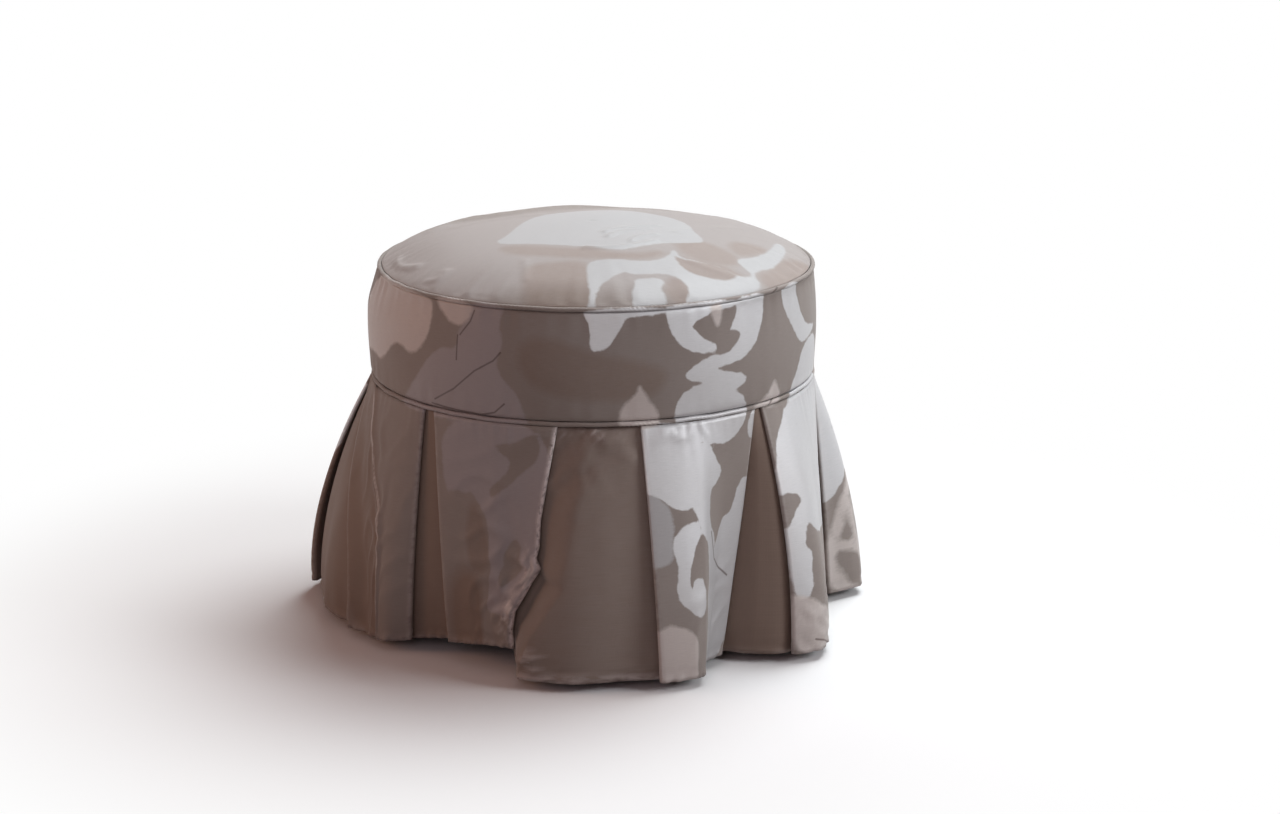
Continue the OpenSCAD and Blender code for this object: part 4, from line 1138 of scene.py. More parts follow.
skirtLook = {
    "pleatTurn": 1.3,  # degrees from the front to the middle of the front pleat
    "hemFlare": 72 * mm,
    "foldOpen": 2.5 * mm,
    "liningThick": 0.6 * mm,
    "liningOff": 1.1 * mm,
    "returnRadius": 236.2 * mm,
    "underRadius": 234.7 * mm,
    "flarePower": 1.8,
    "foldReach": 0.65,  # a fold's roundness, as a share of half the step between its two layers
    "lipHeading": [
        [0.20, 0.36, 0.25, 0.41], [0.03, 0.19, 0.03, 0.19], [0.03, 0.19, 0.03, 0.19],
        [0.03, 0.19, 0.04, 0.20], [0.04, 0.20, 0.03, 0.19], [0.03, 0.19, 0.03, 0.19],
        [0.03, 0.19, 0.03, 0.19], [0.05, 0.21, 0.04, 0.20],
    ],
    "lipHem": [
        [0.44, 0.58, 0.29, 0.45], [0.25, 0.39, 0.01, 0.16], [0.10, 0.26, -0.06, 0.09],
        [0.14, 0.30, 0.12, 0.28], [0.13, 0.29, 0.15, 0.31], [0.14, 0.30, 0.12, 0.28],
        [0.18, 0.32, 0.50, 0.64], [0.12, 0.26, 0.12, 0.28],
    ],
    "midHem": [0.11, 0.5, 0.5, 0.5, 0.5, 0.5, 0.5, 0.5],
    "hemOut": [
        [0.00, 0.01, 0.16, 0.03, 0.17, 0.72, 0.69, 0.61, 0.72, 0.68, 0.59],
        [0.31, 0.10, 0.03, 0.06, 0.04, 0.45, 0.71, 0.70, 0.73, 0.85, 0.56],
        [0.35, 0.19, 0.16, 0.13, 0.13, 0.15, 0.20, 0.24, 0.30, 0.84, 0.92],
        [0.48, 0.41, 0.54, 0.38, 0.49, 0.52, 0.44, 0.32, 0.49, 0.37, 0.25],
        [0.29, 0.44, 0.63, 0.43, 0.57, 0.62, 0.57, 0.47, 0.64, 0.53, 0.37],
        [0.26, 0.37, 0.53, 0.35, 0.46, 0.50, 0.47, 0.41, 0.57, 0.49, 0.66],
        [0.86, 1.02, 1.14, 1.00, 1.08, 0.94, 0.67, 0.46, 0.67, 0.49, 0.48],
        [0.47, 0.46, 0.20, 0.34, 0.17, 0.10, 0.04, 0.01, 0.06, 0.02, 0.00],
    ],
    "belly": (0.36, 0.64),  # the face panels' two inner corners, as shares of the way between their lips
    # lips that wander, with their pleat and side: height above the hem and shift outwards, in millimetres
    "lipSway": {
        (0, 0): [(0, 0), (20, 5), (43, 6), (66, -2), (80, -6), (95, -12), (106, -5), (120, -6), (150, -2),
                 (190, -1), (256, 0)],
        (6, 2): [(0, 0), (14, 2), (34, 12), (70, 18), (130, 15), (190, 8), (256, 0)],
    },
    "swayShares": [1, 0.8],  # how much of it each of the lip's two corners takes
    # the hem left of the front pleat hangs short: degrees from the front, and lift in millimetres
    "hemLift": [(-55, 0), (-49, 4), (-44, 8), (-37, 11), (-27, 17), (-20, 20), (-15, 20), (-14.9, 0)],
    "liftEnd": (-19.6, -18.3),
}
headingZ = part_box("skirt")[1][2]
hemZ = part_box("skirt")[0][2]
pleatCount = len(skirtLook["lipHeading"])
pleatAngle = 2 * math.pi / pleatCount


def skirtCorners(drop):
    # Angle and radius of the fifteen corners of each pleat at each drop, 0 at the heading and 1 at the hem
    look = skirtLook
    t = drop[:, None]
    grow = 1 - (1 - t) ** look["flarePower"]
    head, hem = np.array(look["lipHeading"]), np.array(look["lipHem"])
    share = head[None] + (hem - head)[None] * t[..., None]
    for (k, side), points in look["lipSway"].items():
        heights, shifts = np.array(points).T * mm
        wander = np.interp((1 - drop) * (headingZ - hemZ), heights, shifts)
        wander = wander / (stool["drumRadius"] * pleatAngle)
        share[:, k, side:side + 2] += wander[:, None] * look["swayShares"]
    at = pleatAngle * share
    toNext = pleatAngle * (1 - np.roll(share[:, :, 1], -1, 1))
    toLast = pleatAngle * (1 - np.roll(share[:, :, 3], 1, 1))
    middle = 0.5 + (np.array(look["midHem"])[None] - 0.5) * t
    out = look["hemFlare"] * grow[..., None] * np.array(look["hemOut"])[None]
    face = stool["drumRadius"] - stool["cloth"] / 2
    back = look["returnRadius"] - look["foldOpen"] * t
    deep = look["underRadius"] - 2 * look["foldOpen"] * t
    near, far = look["belly"]
    leftBelly = -(toLast + (at[:, :, 1] - toLast) * far)
    rightBelly = at[:, :, 3] + (toNext - at[:, :, 3]) * near
    under = -at[:, :, 0] + (at[:, :, 2] + at[:, :, 0]) * middle
    a, b, c, d = -at[:, :, 0], -at[:, :, 1], at[:, :, 2], at[:, :, 3]
    turn = np.stack([leftBelly, b, a, a, b, b, a, under, c, d, d, c, c, d, rightBelly], -1)
    layers = [face, face, face, back, back, deep, deep, deep, deep, deep, back, back, face, face, face]
    outs = [0, 1, 2, 2, 3, 3, 4, 5, 6, 7, 7, 8, 8, 9, 10]
    radius = np.stack([layer + out[:, :, o] for layer, o in zip(layers, outs)], -1)
    start = math.radians(look["pleatTurn"]) + np.arange(pleatCount) * pleatAngle
    return turn + start[None, :, None], radius


def easedRun(turn, radius, steps):
    # A smooth line through corners (rows, corners): cubic pieces whose slopes never overshoot
    h = np.diff(turn, axis=1)
    rise = np.diff(radius, axis=1) / h
    inner = np.where(rise[:, :-1] * rise[:, 1:] > 0,
                     2 * rise[:, :-1] * rise[:, 1:] / (rise[:, :-1] + rise[:, 1:] + 1e-12), 0)
    slope = np.concatenate([rise[:, :1], inner, rise[:, -1:]], 1)
    turns, radii = [], []
    for i, count in enumerate(steps):
        s = np.arange(count)[None, :] / count
        a, b = radius[:, i:i + 1], radius[:, i + 1:i + 2]
        fromA, toB = slope[:, i:i + 1] * h[:, i:i + 1], slope[:, i + 1:i + 2] * h[:, i:i + 1]
        radii.append((2 * s ** 3 - 3 * s ** 2 + 1) * a + (s ** 3 - 2 * s ** 2 + s) * fromA
                     + (3 * s ** 2 - 2 * s ** 3) * b + (s ** 3 - s ** 2) * toB)
        turns.append(turn[:, i:i + 1] + s * h[:, i:i + 1])
    return np.concatenate(turns, 1), np.concatenate(radii, 1)


def foldArc(turn, fromRadius, toRadius, side, reach, steps):
    # Half a turn of cloth from one layer to the next; its outermost point is the fold's corner
    phi = (np.arange(steps)[None, :] + 0.5) / steps * math.pi
    half = (fromRadius - toRadius)[:, None] / 2
    middle = (fromRadius + toRadius)[:, None] / 2
    arcTurn = turn[:, None] + side * reach[:, None] / middle * (np.sin(phi) - 1)
    return arcTurn, middle + half * np.cos(phi)


def skirtPath(drop, mesh):
    # The whole path at each drop, as runs of face, fold, return and underlay. Also gives each column's
    # pleat and zone: 0 underlay, 1 face panel, 2 left lip and return, 3 right return and lip
    turn, radius = skirtCorners(drop)
    turns, radii, zone, pleat = [], [], [], []

    def put(run, where, k):
        turns.append(run[0])
        radii.append(run[1])
        zone.append(np.zeros(run[0].shape[1], int) + where)
        pleat.append(np.full(run[0].shape[1], k))

    def inset(k, i, j, side):
        # The run's end is drawn back from the fold's corner by the fold's reach
        reach = skirtLook["foldReach"] * np.abs(radius[:, k, i] - radius[:, k, j]) / 2
        return turn[:, k, i] - side * reach / radius[:, k, i], reach

    def fold(k, corner, i, j, side, reach, steps):
        return foldArc(turn[:, k, corner], radius[:, k, i], radius[:, k, j], side, reach, steps)

    for k in range(pleatCount):
        faceSteps, returnSteps, underSteps, arcSteps = mesh["fine" if k in finePleats else "plain"]
        half = np.arange(arcSteps) < arcSteps / 2
        n = (k + 1) % pleatCount
        wrap = 2 * math.pi if n == 0 else 0
        lipL, lipLReach = inset(k, 2, 3, 1)
        backL, backLReach = inset(k, 4, 5, -1)
        backR, backRReach = inset(k, 9, 10, 1)
        lipR, lipRReach = inset(k, 12, 11, -1)
        nextLipL, _ = inset(n, 2, 3, 1)
        put(fold(k, 2, 2, 3, 1, lipLReach, arcSteps), 2, k)
        put(easedRun(np.stack([lipL, backL], 1), radius[:, k, 3:5], [returnSteps]), 2, k)
        put(fold(k, 4, 4, 5, -1, backLReach, arcSteps), np.where(half, 2, 0), k)
        under = np.stack([backL, turn[:, k, 6], turn[:, k, 7], turn[:, k, 8], backR], 1)
        put(easedRun(under, radius[:, k, 5:10], underSteps), 0, k)
        put(fold(k, 9, 9, 10, 1, backRReach, arcSteps), np.where(half, 0, 3), k)
        put(easedRun(np.stack([backR, lipR], 1), radius[:, k, 10:12], [returnSteps]), 3, k)
        put(fold(k, 12, 11, 12, -1, lipRReach, arcSteps), 3, k)
        face = np.stack([lipR, turn[:, k, 13], turn[:, k, 14], turn[:, n, 0] + wrap, turn[:, n, 1] + wrap,
                         nextLipL + wrap], 1)
        out = np.concatenate([radius[:, k, 12:15], radius[:, n, 0:3]], 1)
        put(easedRun(face, out, faceSteps), 1, k)
    return [np.concatenate(parts, axis) for parts, axis in ((turns, 1), (radii, 1), (zone, 0), (pleat, 0))]


def clothRound(turn, middle, zone, pleat):
    # Place of each column round the unfolded cloth: a face panel keeps its angle at the heading, a lip and
    # its return go on from the panel's end by their own length, and an underlay counts out from its middle
    size = stool["drumRadius"]
    step = closedSteps(middle)
    length = np.cumsum(step) - step
    whole = length[-1] + step[-1]
    u = turn * size
    for k in range(pleatCount):
        onFace = np.where((zone == 1) & (pleat == k))[0]
        before = np.where((zone == 1) & (pleat == (k - 1) % pleatCount))[0][-1]
        left = (zone == 2) & (pleat == k)
        right = (zone == 3) & (pleat == k)
        under = (zone == 0) & (pleat == k)
        wrap = (whole, 2 * math.pi * size) if k == 0 else (0, 0)
        u[left] = turn[before] * size - wrap[1] + length[left] - length[before] + wrap[0]
        u[right] = turn[onFace[0]] * size - length[onFace[0]] + length[right]
        u[under] = turn[onFace[0]] * size + length[under] - length[under].mean()
    return u


crumpleLook = {"waves": 5, "pitches": (0.7, 1.6), "ridgeReach": 1.6}


def crumple(u, v, seed, size):
    # Sharp ridges between flat facets, 0 to 1: how near a sum of sine waves in all directions is to zero
    look = crumpleLook
    rng = np.random.default_rng(seed)
    total = 0.0
    for _ in range(look["waves"]):
        way = rng.uniform(0, math.pi)
        pitch = size * rng.uniform(*look["pitches"])
        along = u * math.cos(way) + v * math.sin(way)
        total = total + np.sin(along * 2 * math.pi / pitch + rng.uniform(0, 6))
    return 1 - np.minimum(np.abs(total) / look["ridgeReach"], 1)


def patch(u, v, middle, reach):
    # A bell over an oval: 1 in its middle. The oval's middle and reach are in millimetres
    far = [(at - m * mm) / (r * mm) for at, m, r in zip((u, v), middle, reach)]
    return np.exp(-far[0] ** 2 - far[1] ** 2)


def hemLift(turn, zone, pleat):
    # How far the hem of each column hangs short, from its angle at the hem; the front underlay drops
    # back to the full length where it comes out from behind the lip
    degrees = np.degrees((turn + math.pi) % (2 * math.pi) - math.pi)
    angles, lifts = np.array(skirtLook["hemLift"]).T
    lift = np.interp(degrees, angles, lifts) * mm
    frontUnder = (pleat == 0) & ((zone == 0) | (zone == 3))
    return np.where(frontUnder, lift * smoothStep(*skirtLook["liftEnd"][::-1], degrees), lift)


swayLook = {"power": 1.3, "slow": 1.6 * mm, "quick": 0.5 * mm, "pulled": 0.35 * mm, "pulledDrop": 0.07}


def sway(turn, drop):
    # Soft waves of the hanging cloth, the same for every layer at one angle so that none meets another:
    # two sets grow with a power of the drop, and one, pulled by the stitches, dies out below the seam
    look = swayLook
    hang = drop ** look["power"]
    slow = look["slow"] * hang * waves(turn, drop, 41, 6, (7, 19), (0.5, 2.0))
    quick = look["quick"] * hang * waves(turn, drop, 42, 8, (24, 60), (1.0, 4.0))
    pulled = look["pulled"] * np.exp(-drop / look["pulledDrop"]) * waves(turn, 0, 43, 9, (60, 150), (0, 0))
    return slow + quick + pulled


finePleats = (0, 1, 6, 7)  # the ones in front
skirtMesh = {
    "rows": 60,
    # steps of the face, the returns, the underlay and the fold arcs, for the front pleats and the others
    "fine": ([8, 10, 12, 10, 13], 8, [7, 11, 10, 6], 5),
    "plain": ([4, 8, 9, 8, 4], 5, [3, 6, 6, 3], 4),
    "hemLine": 8 * mm,
    "hemGroove": 0.9 * mm,
    "grooveHalf": 1.6 * mm,
    "hemPucker": 0.5 * mm,
    "hemCrumple": 1.2 * mm,
    "hemFacets": 16 * mm,
    # zone, pleat, whether the place is read round the cloth or by the angle, middle u and v, reach,
    # height and size of the facets, all in millimetres, and the seed
    "crumples": [
        (1, 7, "cloth", (-40, 108), (12, 30), 4.5, 16, 61),
        (1, 7, "cloth", (-38, 60), (12, 26), 3.5, 14, 62),
        (1, 7, "cloth", (-46, 258), (16, 7), 2.0, 16, 63),
        (0, 0, "around", (4, 258), (34, 9), 3.6, 20, 64),
        (0, 0, "around", (-6, 222), (34, 26), 2.4, 44, 65),
        (0, 0, "around", (30, 22), (26, 14), 2.2, 20, 66),
        (0, 0, "around", (-58, 26), (22, 16), 3.0, 24, 67),
        (1, 0, "cloth", (86, 256), (50, 10), 2.2, 26, 68),
        (1, 0, "cloth", (130, 60), (50, 60), 1.8, 40, 69),
        (1, 1, "cloth", (230, 40), (34, 40), 2.6, 24, 70),
        (1, 7, "cloth", (-110, 130), (60, 120), 2.2, 60, 71),
        (1, 6, "cloth", (-260, 140), (80, 120), 2.4, 70, 72),
    ],
    # ridges on the face panels: start u, v, end u, v, bend, height, half width, all in millimetres
    "faceCreases": [
        (-300, 262, -250, 130, -6, 3.0, 7),
        (-250, 130, -248, 20, 0, 2.6, 7),
        (-62, 128, -33, 106, 3, 3.0, 5),
        (-70, 96, -36, 84, -4, 2.6, 5),
        (-60, 60, -34, 74, 3, 2.2, 5),
        (-52, 46, -33, 34, 0, 2.0, 4),
        (-20, 90, -34, 120, 0, 1.6, 5),
    ],
    # the same on the front underlay, where u is the angle times the drum's radius
    "underCreases": [
        (-38, 206, 26, 256, 6, 3.4, 7),
        (-16, 186, 40, 236, 7, 2.6, 9),
        (-30, 232, 0, 250, 3, 2.4, 5),
        (2, 262, 34, 250, -2, 3.2, 4),
        (12, 246, 40, 236, 2, 2.2, 4),
        (-86, 44, -44, 12, 4, 3.4, 5),
        (40, 14, 66, 34, 0, 2.4, 4),
        (-20, 12, 20, 18, 2, 1.8, 4),
    ],
}
liningMesh = {
    "rows": 28,
    "fine": ([3, 6, 6, 6, 4], 4, [3, 5, 5, 3], 4),
    "plain": ([3, 6, 6, 6, 3], 4, [3, 5, 5, 3], 4),
    "short": 12 * mm,  # how far it ends over the hem
}
# painted highlights: how strong and how wide the pale bells are on the lips, the hem and the ridges
edgeHighlightLook = {
    "lip": 0.3,
    "lipReach": 2.2 * mm,
    "frontLip": 1.8,
    "frontLipReach": 2 * mm,
    "onFace": 1.2 * mm,
    "hem": 0.5,
    "hemReach": 3 * mm,
    "frontHem": 1.0,
    "frontHemReach": 6 * mm,
    "ridge": 0.9,
    "ridgeFrom": 3,  # millimetres: lower crumples get no painted highlight
}


def paintedEdgeHighlights(turn, middle, zone, pleat, fromHem):
    # Share of painted highlight, a pale colour standing for light caught on edges: bells across the lips,
    # where a face panel turns back, and up the hem
    look = edgeHighlightLook
    step = closedSteps(middle)
    along = np.cumsum(step, 1) - step
    whole = step.sum(1)[:, None]
    near = np.zeros(turn.shape)
    for k in range(pleatCount):
        for side in (2, 3):
            lip = np.where((zone == side) & (pleat == k))[0]
            lip = lip[:3].mean() if side == 2 else lip[-3:].mean()
            at = along[:, int(lip)][:, None]
            front = (k, side) == (0, 2)
            lipName = "frontLip" if front else "lip"
            away = (along - at + look["onFace"] * front + whole / 2) % whole - whole / 2
            near = np.maximum(near, look[lipName] * np.exp(-(away / look[lipName + "Reach"]) ** 2))
    hem = look["hem"] * np.exp(-(fromHem / look["hemReach"]) ** 2)
    frontHem = look["frontHem"] * np.exp(-(fromHem / look["frontHemReach"]) ** 2)
    return np.maximum(near, np.where((zone == 0) & (pleat == 0), frontHem, hem))


def hangingUv(u, height):
    # UV of the skirt's loop of rows: the length round the cloth and the height, one row and column more
    wide = np.append(u, u[-1] + 3 * mm)
    tall = np.concatenate([height, height[::-1], height[:1]])
    return np.stack(np.meshgrid(wide, tall), -1)


def skirt():
    # The path at each drop, with sway, creases, crumples and a stitched hem added to its radius, then
    # given the cloth's thickness
    mesh, look = skirtMesh, damaskLook
    drop = np.linspace(0, 1, mesh["rows"])
    turn, radius, zone, pleat = skirtPath(drop, mesh)
    lift = hemLift(turn[-1], zone, pleat)
    height = headingZ + (hemZ + lift - headingZ) * drop[:, None]
    radius = radius + sway(turn, drop[:, None])
    u = clothRound(turn[0], polarPoints(turn[0], radius[0], height[0]), zone, pleat)
    flatU = u[None, :] * np.ones(turn.shape)
    nearU = ((flatU / mm + look["repeat"]) % (2 * look["repeat"]) - look["repeat"]) * mm
    aroundU = ((turn + math.pi) % (2 * math.pi) - math.pi) * stool["drumRadius"]
    frontUnder = (zone == 0) & (pleat == 0)
    radius = radius + (zone == 1) * creaseHeights(nearU, height, mesh["faceCreases"])
    radius = radius + frontUnder * creaseHeights(aroundU, height, mesh["underCreases"])
    ridgeHighlights = np.zeros(turn.shape)
    for zoneHere, pleatHere, readBy, centre, reach, rise, size, seed in mesh["crumples"]:
        across = aroundU if readBy == "around" else nearU
        share = ((zone == zoneHere) & (pleat == pleatHere)) * patch(across, height, centre, reach)
        ridge = crumple(across, height, seed, size * mm)
        radius = radius + rise * mm * share * ridge
        # painted highlight on the ridges of the high crumples
        ridgeHighlight = edgeHighlightLook["ridge"] * (rise >= edgeHighlightLook["ridgeFrom"])
        ridgeHighlights = np.maximum(ridgeHighlights, ridgeHighlight * share * ridge ** 4)
    fromHem = height - hemZ - lift
    hemBand = np.exp(-(fromHem / mesh["hemLine"]) ** 2) * (zone != 2) * (zone != 3)
    groove = np.exp(-((fromHem - mesh["hemLine"]) / mesh["grooveHalf"]) ** 2)
    bulge = smoothStep(mesh["hemLine"], mesh["hemLine"] / 2, fromHem)
    radius = radius + mesh["hemCrumple"] * hemBand * crumple(flatU, height, 45, mesh["hemFacets"])
    radius = radius - mesh["hemGroove"] * groove
    radius = radius + mesh["hemPucker"] * bulge * waves(turn, 0, 44, 8, (70, 160), (0, 0))
    middle = polarPoints(turn, radius, height)
    around = [round(float(closedSteps(middle[i]).sum()), 3) for i in (0, -1)]
    print("skirt path at the heading and the hem:", around)
    plain = zone == 0
    repeat, deepest = look["repeat"], look["deepShade"]
    fields = damaskFields(flatU, height, damaskOutlines["side"], repeat, plain)
    once = damaskFields(flatU, height, damaskOutlines["sideOnce"], 2 * repeat, plain, deepest)
    fields = {kind: np.maximum(values, once[kind]) for kind, values in fields.items()}
    # painted shade: every plain underlay is darkened as if shadowed inside its pleat, the front one by less
    underShade = np.where(pleat == 0, look["shadeDepth"], deepest)
    fields["darkToneAndPaintedShade"] = np.where(plain, underShade, fields["darkToneAndPaintedShade"])
    fields["paintedHighlight"] = np.maximum(paintedEdgeHighlights(turn, middle, zone, pleat, fromHem), ridgeHighlights)
    fields = {key: bothSides(value) for key, value in fields.items()}
    grid = shellGrid(middle, stool["cloth"])
    obj = makeSurface("pleatedSkirt", grid, uv=hangingUv(u, height[:, 0]), fields=fields)
    addPiece(obj, "damask", "skirt")


def skirtLining():
    # The skirt's path again, moved in towards the stool along its normals and ended over the hem
    look, mesh = skirtLook, liningMesh
    lowest = hemZ + mesh["short"]
    drop = np.linspace(0, (headingZ - lowest) / (headingZ - hemZ), mesh["rows"])
    turn, radius, zone, pleat = skirtPath(drop, mesh)
    height = headingZ + (hemZ + hemLift(turn[-1], zone, pleat) - headingZ) * drop[:, None]
    middle = polarPoints(turn, radius + sway(turn, drop[:, None]), height)
    middle = middle - normalsOf(middle) * look["liningOff"] * outward(middle)
    grid = shellGrid(middle, look["liningThick"])
    length = lengthsAlong(middle[0])
    obj = makeSurface("skirtLining", grid, uv=hangingUv(length, height[:, 0]))
    addPiece(obj, "lining_cloth", "skirt_lining")


def outward(middle):
    # 1 if the grid's normals point away from the axis on the whole, or else -1
    radial = middle * np.array([1, 1, 0])
    return 1 if float((normalsOf(middle) * radial).sum()) > 0 else -1


# Padding, deck and frame cloths

padLook = {
    "columns": 240,
    "crownSteps": 40,
    "wadding": 6 * mm,
    "foamEase": 0.4 * mm,
    "waddingEase": 0.5 * mm,
    "foamLumps": 0.25 * mm,
    "waddingLumps": 0.35 * mm,
    "sideLumps": 0.3 * mm,
    "uvSize": (1.4, 0.4),  # metres that the UV map of a turned piece counts round and across
}


def turnedSolid(name, node, slot, outline, swell, seed):
    # A closed outline (radius, height) that starts and ends on the axis, turned round it, with low waves
    line = np.asarray(outline)[1:-1]
    turn, radius, height = carriedRound(line, padLook["columns"])
    ripple = waves(turn, height / mm, seed, 8, (5, 30), (0.02, 0.2))
    grid = polarPoints(turn, radius + swell * ripple * 0.5, height + swell * ripple * 0.5)
    poles = [(0, 0, outline[0][1]), (0, 0, outline[-1][1])]
    wide, tall = padLook["uvSize"]
    around = np.linspace(0, wide, padLook["columns"] + 1)
    uv = np.stack(np.meshgrid(around, np.linspace(0, tall, len(line))), -1)
    obj = makeSurface(name, grid, closedRows=False, uv=uv, poles=poles)
    return addPiece(obj, slot, node)


def crownLine(endRadius, drop):
    # The crown's profile from the axis out to a radius, lowered by the drop
    radius = endRadius * np.sin(np.linspace(0, math.pi / 2, padLook["crownSteps"]))
    return np.stack([radius, crownHeight(radius) - drop], 1)


def padding():
    # Three turned outlines (radius, height): the foam under the crown, the wadding over it out to the
    # top seam, and the side padding, a closed ring between the drum wall and the band
    look = padLook
    gap, cloth = stool["gap"], stool["cloth"]
    rim = turningRadius[3] - cloth / 2 - gap
    crownRadius = wallRadius - look["wadding"] / 2
    coverDrop = cloth + gap
    foamDrop = coverDrop + look["wadding"] + gap
    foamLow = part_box("seat_foam")[0][2]
    edgeZ = float(crownHeight(wallRadius)) - foamDrop - look["wadding"] / 2
    down = np.stack([np.full(9, wallRadius), np.linspace(edgeZ, foamLow, 9)], 1)
    base = np.stack([np.linspace(wallRadius, 0, 24), np.full(24, foamLow)], 1)[1:]
    outline = np.concatenate([crownLine(crownRadius, foamDrop + look["foamEase"]), down, base])
    turnedSolid("seatFoam", "seat_foam", "foam", outline, look["foamLumps"], 51)
    padTop = stool["topSeamZ"] - stool["weltDiameter"] / 2
    inner = wallRadius + gap
    lip = np.array([[rim, padTop + gap], [inner, padTop + gap], [inner, edgeZ + gap]])
    outline = np.concatenate([crownLine(rim, coverDrop + look["waddingEase"]), evenLine(lip, 10)[0],
                              crownLine(crownRadius, foamDrop - gap)[::-1]])
    turnedSolid("seatWadding", "seat_wadding", "wadding", outline, look["waddingLumps"], 52)
    lowZ = stool["skirtSeamZ"] + bandLook["ledge"] + coverDrop
    neckZ = stool["topSeamZ"] - stool["turning"] - gap
    z = np.linspace(lowZ, neckZ - cloth, 26)
    foot = [[inner, padTop], [inner, stool["skirtSeamZ"] + coverDrop], [bandRadius(lowZ) - coverDrop, lowZ]]
    neck = [[rim, neckZ], [rim, padTop], [inner + mm, padTop]]
    side = np.stack([bandRadius(z) - coverDrop - bandLook["padDrop"], z], 1)[1:]
    ring = np.concatenate([evenLine(foot, 30)[0], side, evenLine(neck, 10)[0]])
    turn, radius, height = carriedRound(ring, padLook["columns"] * 2)
    lumps = look["sideLumps"] * waves(turn, height / mm, 53, 8, (9, 50), (0.05, 0.3))
    grid = polarPoints(turn, radius + lumps * (radius > wallRadius + 2 * mm), height)
    addPiece(makeSurface("sidePadding", grid), "wadding", "side_padding")


deckLook = {"rings": 60, "columns": 240}


def hessianDeck():
    # A flat disc of coarse cloth: rings from the middle out, all at one height
    low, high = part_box("hessian_deck")
    out = np.linspace(0, high[0], deckLook["rings"] + 1)[1:]
    line = np.stack([out, np.full(deckLook["rings"], (low[2] + high[2]) / 2)], 1)
    turn, radius, height = carriedRound(line, deckLook["columns"])
    grid = shellGrid(polarPoints(turn, radius, height), high[2] - low[2])
    uv = discUv(radius * np.sin(turn), -radius * np.cos(turn))
    poles = [(0, 0, high[2]), (0, 0, low[2])]
    obj = makeSurface("hessianDeck", grid, closedRows=False, uv=uv, poles=poles)
    addPiece(obj, "hessian", "hessian_deck")


webbingLook = {
    "straps": 3,
    "pitch": 85 * mm,
    "width": 50 * mm,
    "thick": 1.6 * mm,
    "fold": 24 * mm,
    "endInset": 9 * mm,
    "steps": 110,
    "across": 13,
    "body": 0.9,  # share of the thickness that the middle has
    "thinner": 0.35,  # share that the selvedges have less
}


def strapLine(i, first):
    # Along strap i: folded end, down on the ring, over the crossing straps whose number and its own together
    # are even or odd, as first says, under the others, and back up. Also gives its place off the middle
    look = webbingLook
    gap, thick = stool["gap"], look["thick"]
    lift = thick + gap
    crossing = look["width"] / 2 + gap
    ramp = look["pitch"] - 2 * crossing

    def off(j):
        return (j - (look["straps"] + 1) / 2) * look["pitch"]

    end = ringRadius - look["endInset"]
    half = math.sqrt(end ** 2 - (abs(off(i)) + look["width"] / 2) ** 2)
    low = thick / 2
    foot = off(look["straps"]) + crossing + min(ramp, (half - off(look["straps"]) - crossing) / 2)
    points = [[look["fold"] - half, low + lift], [thick / 2 - half, low + lift], [thick / 2 - half, low],
              [-foot, low]]
    for j in range(1, look["straps"] + 1):
        height = low + (lift if (i + j) % 2 == first else 0)
        points += [[off(j) - crossing, height], [off(j) + crossing, height]]
    points += [[foot, low], [half - thick / 2, low], [half - thick / 2, low + lift],
               [half - look["fold"], low + lift]]
    return points, off(i)


def strapNumber(number):
    # The first straps run along x and the rest are turned along y
    turned = number > webbingLook["straps"]
    i = number - webbingLook["straps"] if turned else number
    return (*strapLine(i, 1 if turned else 0), turned)


def webbing():
    # Each strap is its line carried across its width, half the thickness to each side, thinner at its
    # selvedges by the eighth power of the place across
    look = webbingLook
    for number in range(1, 2 * look["straps"] + 1):
        points, off, turned = strapNumber(number)
        line, along = evenLine(points, look["steps"])
        tangent = np.gradient(line, axis=0)
        normal = np.stack([-tangent[:, 1], tangent[:, 0]], 1)
        normal /= np.linalg.norm(normal, axis=1, keepdims=True)
        across = np.sin(np.linspace(-math.pi / 2, math.pi / 2, look["across"])) * look["width"] / 2
        edge = (np.abs(across) / (look["width"] / 2)) ** 8
        half = look["thick"] / 2 * (look["body"] - look["thinner"] * edge)
        top = line[:, None, :] + normal[:, None, :] * half[None, :, None]
        bottom = line[:, None, :] - normal[:, None, :] * half[None, :, None]
        loop = np.concatenate([top, bottom[:, ::-1]], 1)
        y = bothSides(across)[None, :] * np.ones((len(line), 1))
        x, z = loop[:, :, 0], loop[:, :, 1] + frameTopZ
        if turned:
            grid = np.stack([-(y + off), x, z], -1)
        else:
            grid = np.stack([x, y + off, z], -1)
        wide = np.concatenate([across, across[::-1], across[:1]])
        uv = np.stack([along[:, None] * np.ones(len(wide)), wide[None, :] * np.ones((len(along), 1))], -1)
        ends = [grid[0].mean(0), grid[-1].mean(0)]
        obj = makeSurface("webbing%d" % number, grid, closedRows=False, uv=uv, poles=ends)
        addPiece(obj, "jute_webbing", "webbing_%d" % number)


def applyModifiers(obj):
    graph = bpy.context.evaluated_depsgraph_get()
    done = bpy.data.meshes.new_from_object(obj.evaluated_get(graph))
    obj.modifiers.clear()
    obj.data = done


dustLook = {
    "rings": 14,
    "columns": 96,
    "thick": 0.6 * mm,
    "hole": 22 * mm,
    "below": 0.4 * mm,
    "crowd": 1.2,  # power that crowds the rings round the hole
    "sag": 2.2 * mm,
    "sagFrom": 0.95,  # share of the radius at which the sag starts
    "ripple": 0.35 * mm,
    "rippleWays": (70, 40),
    "weld": 0.05 * mm,
}


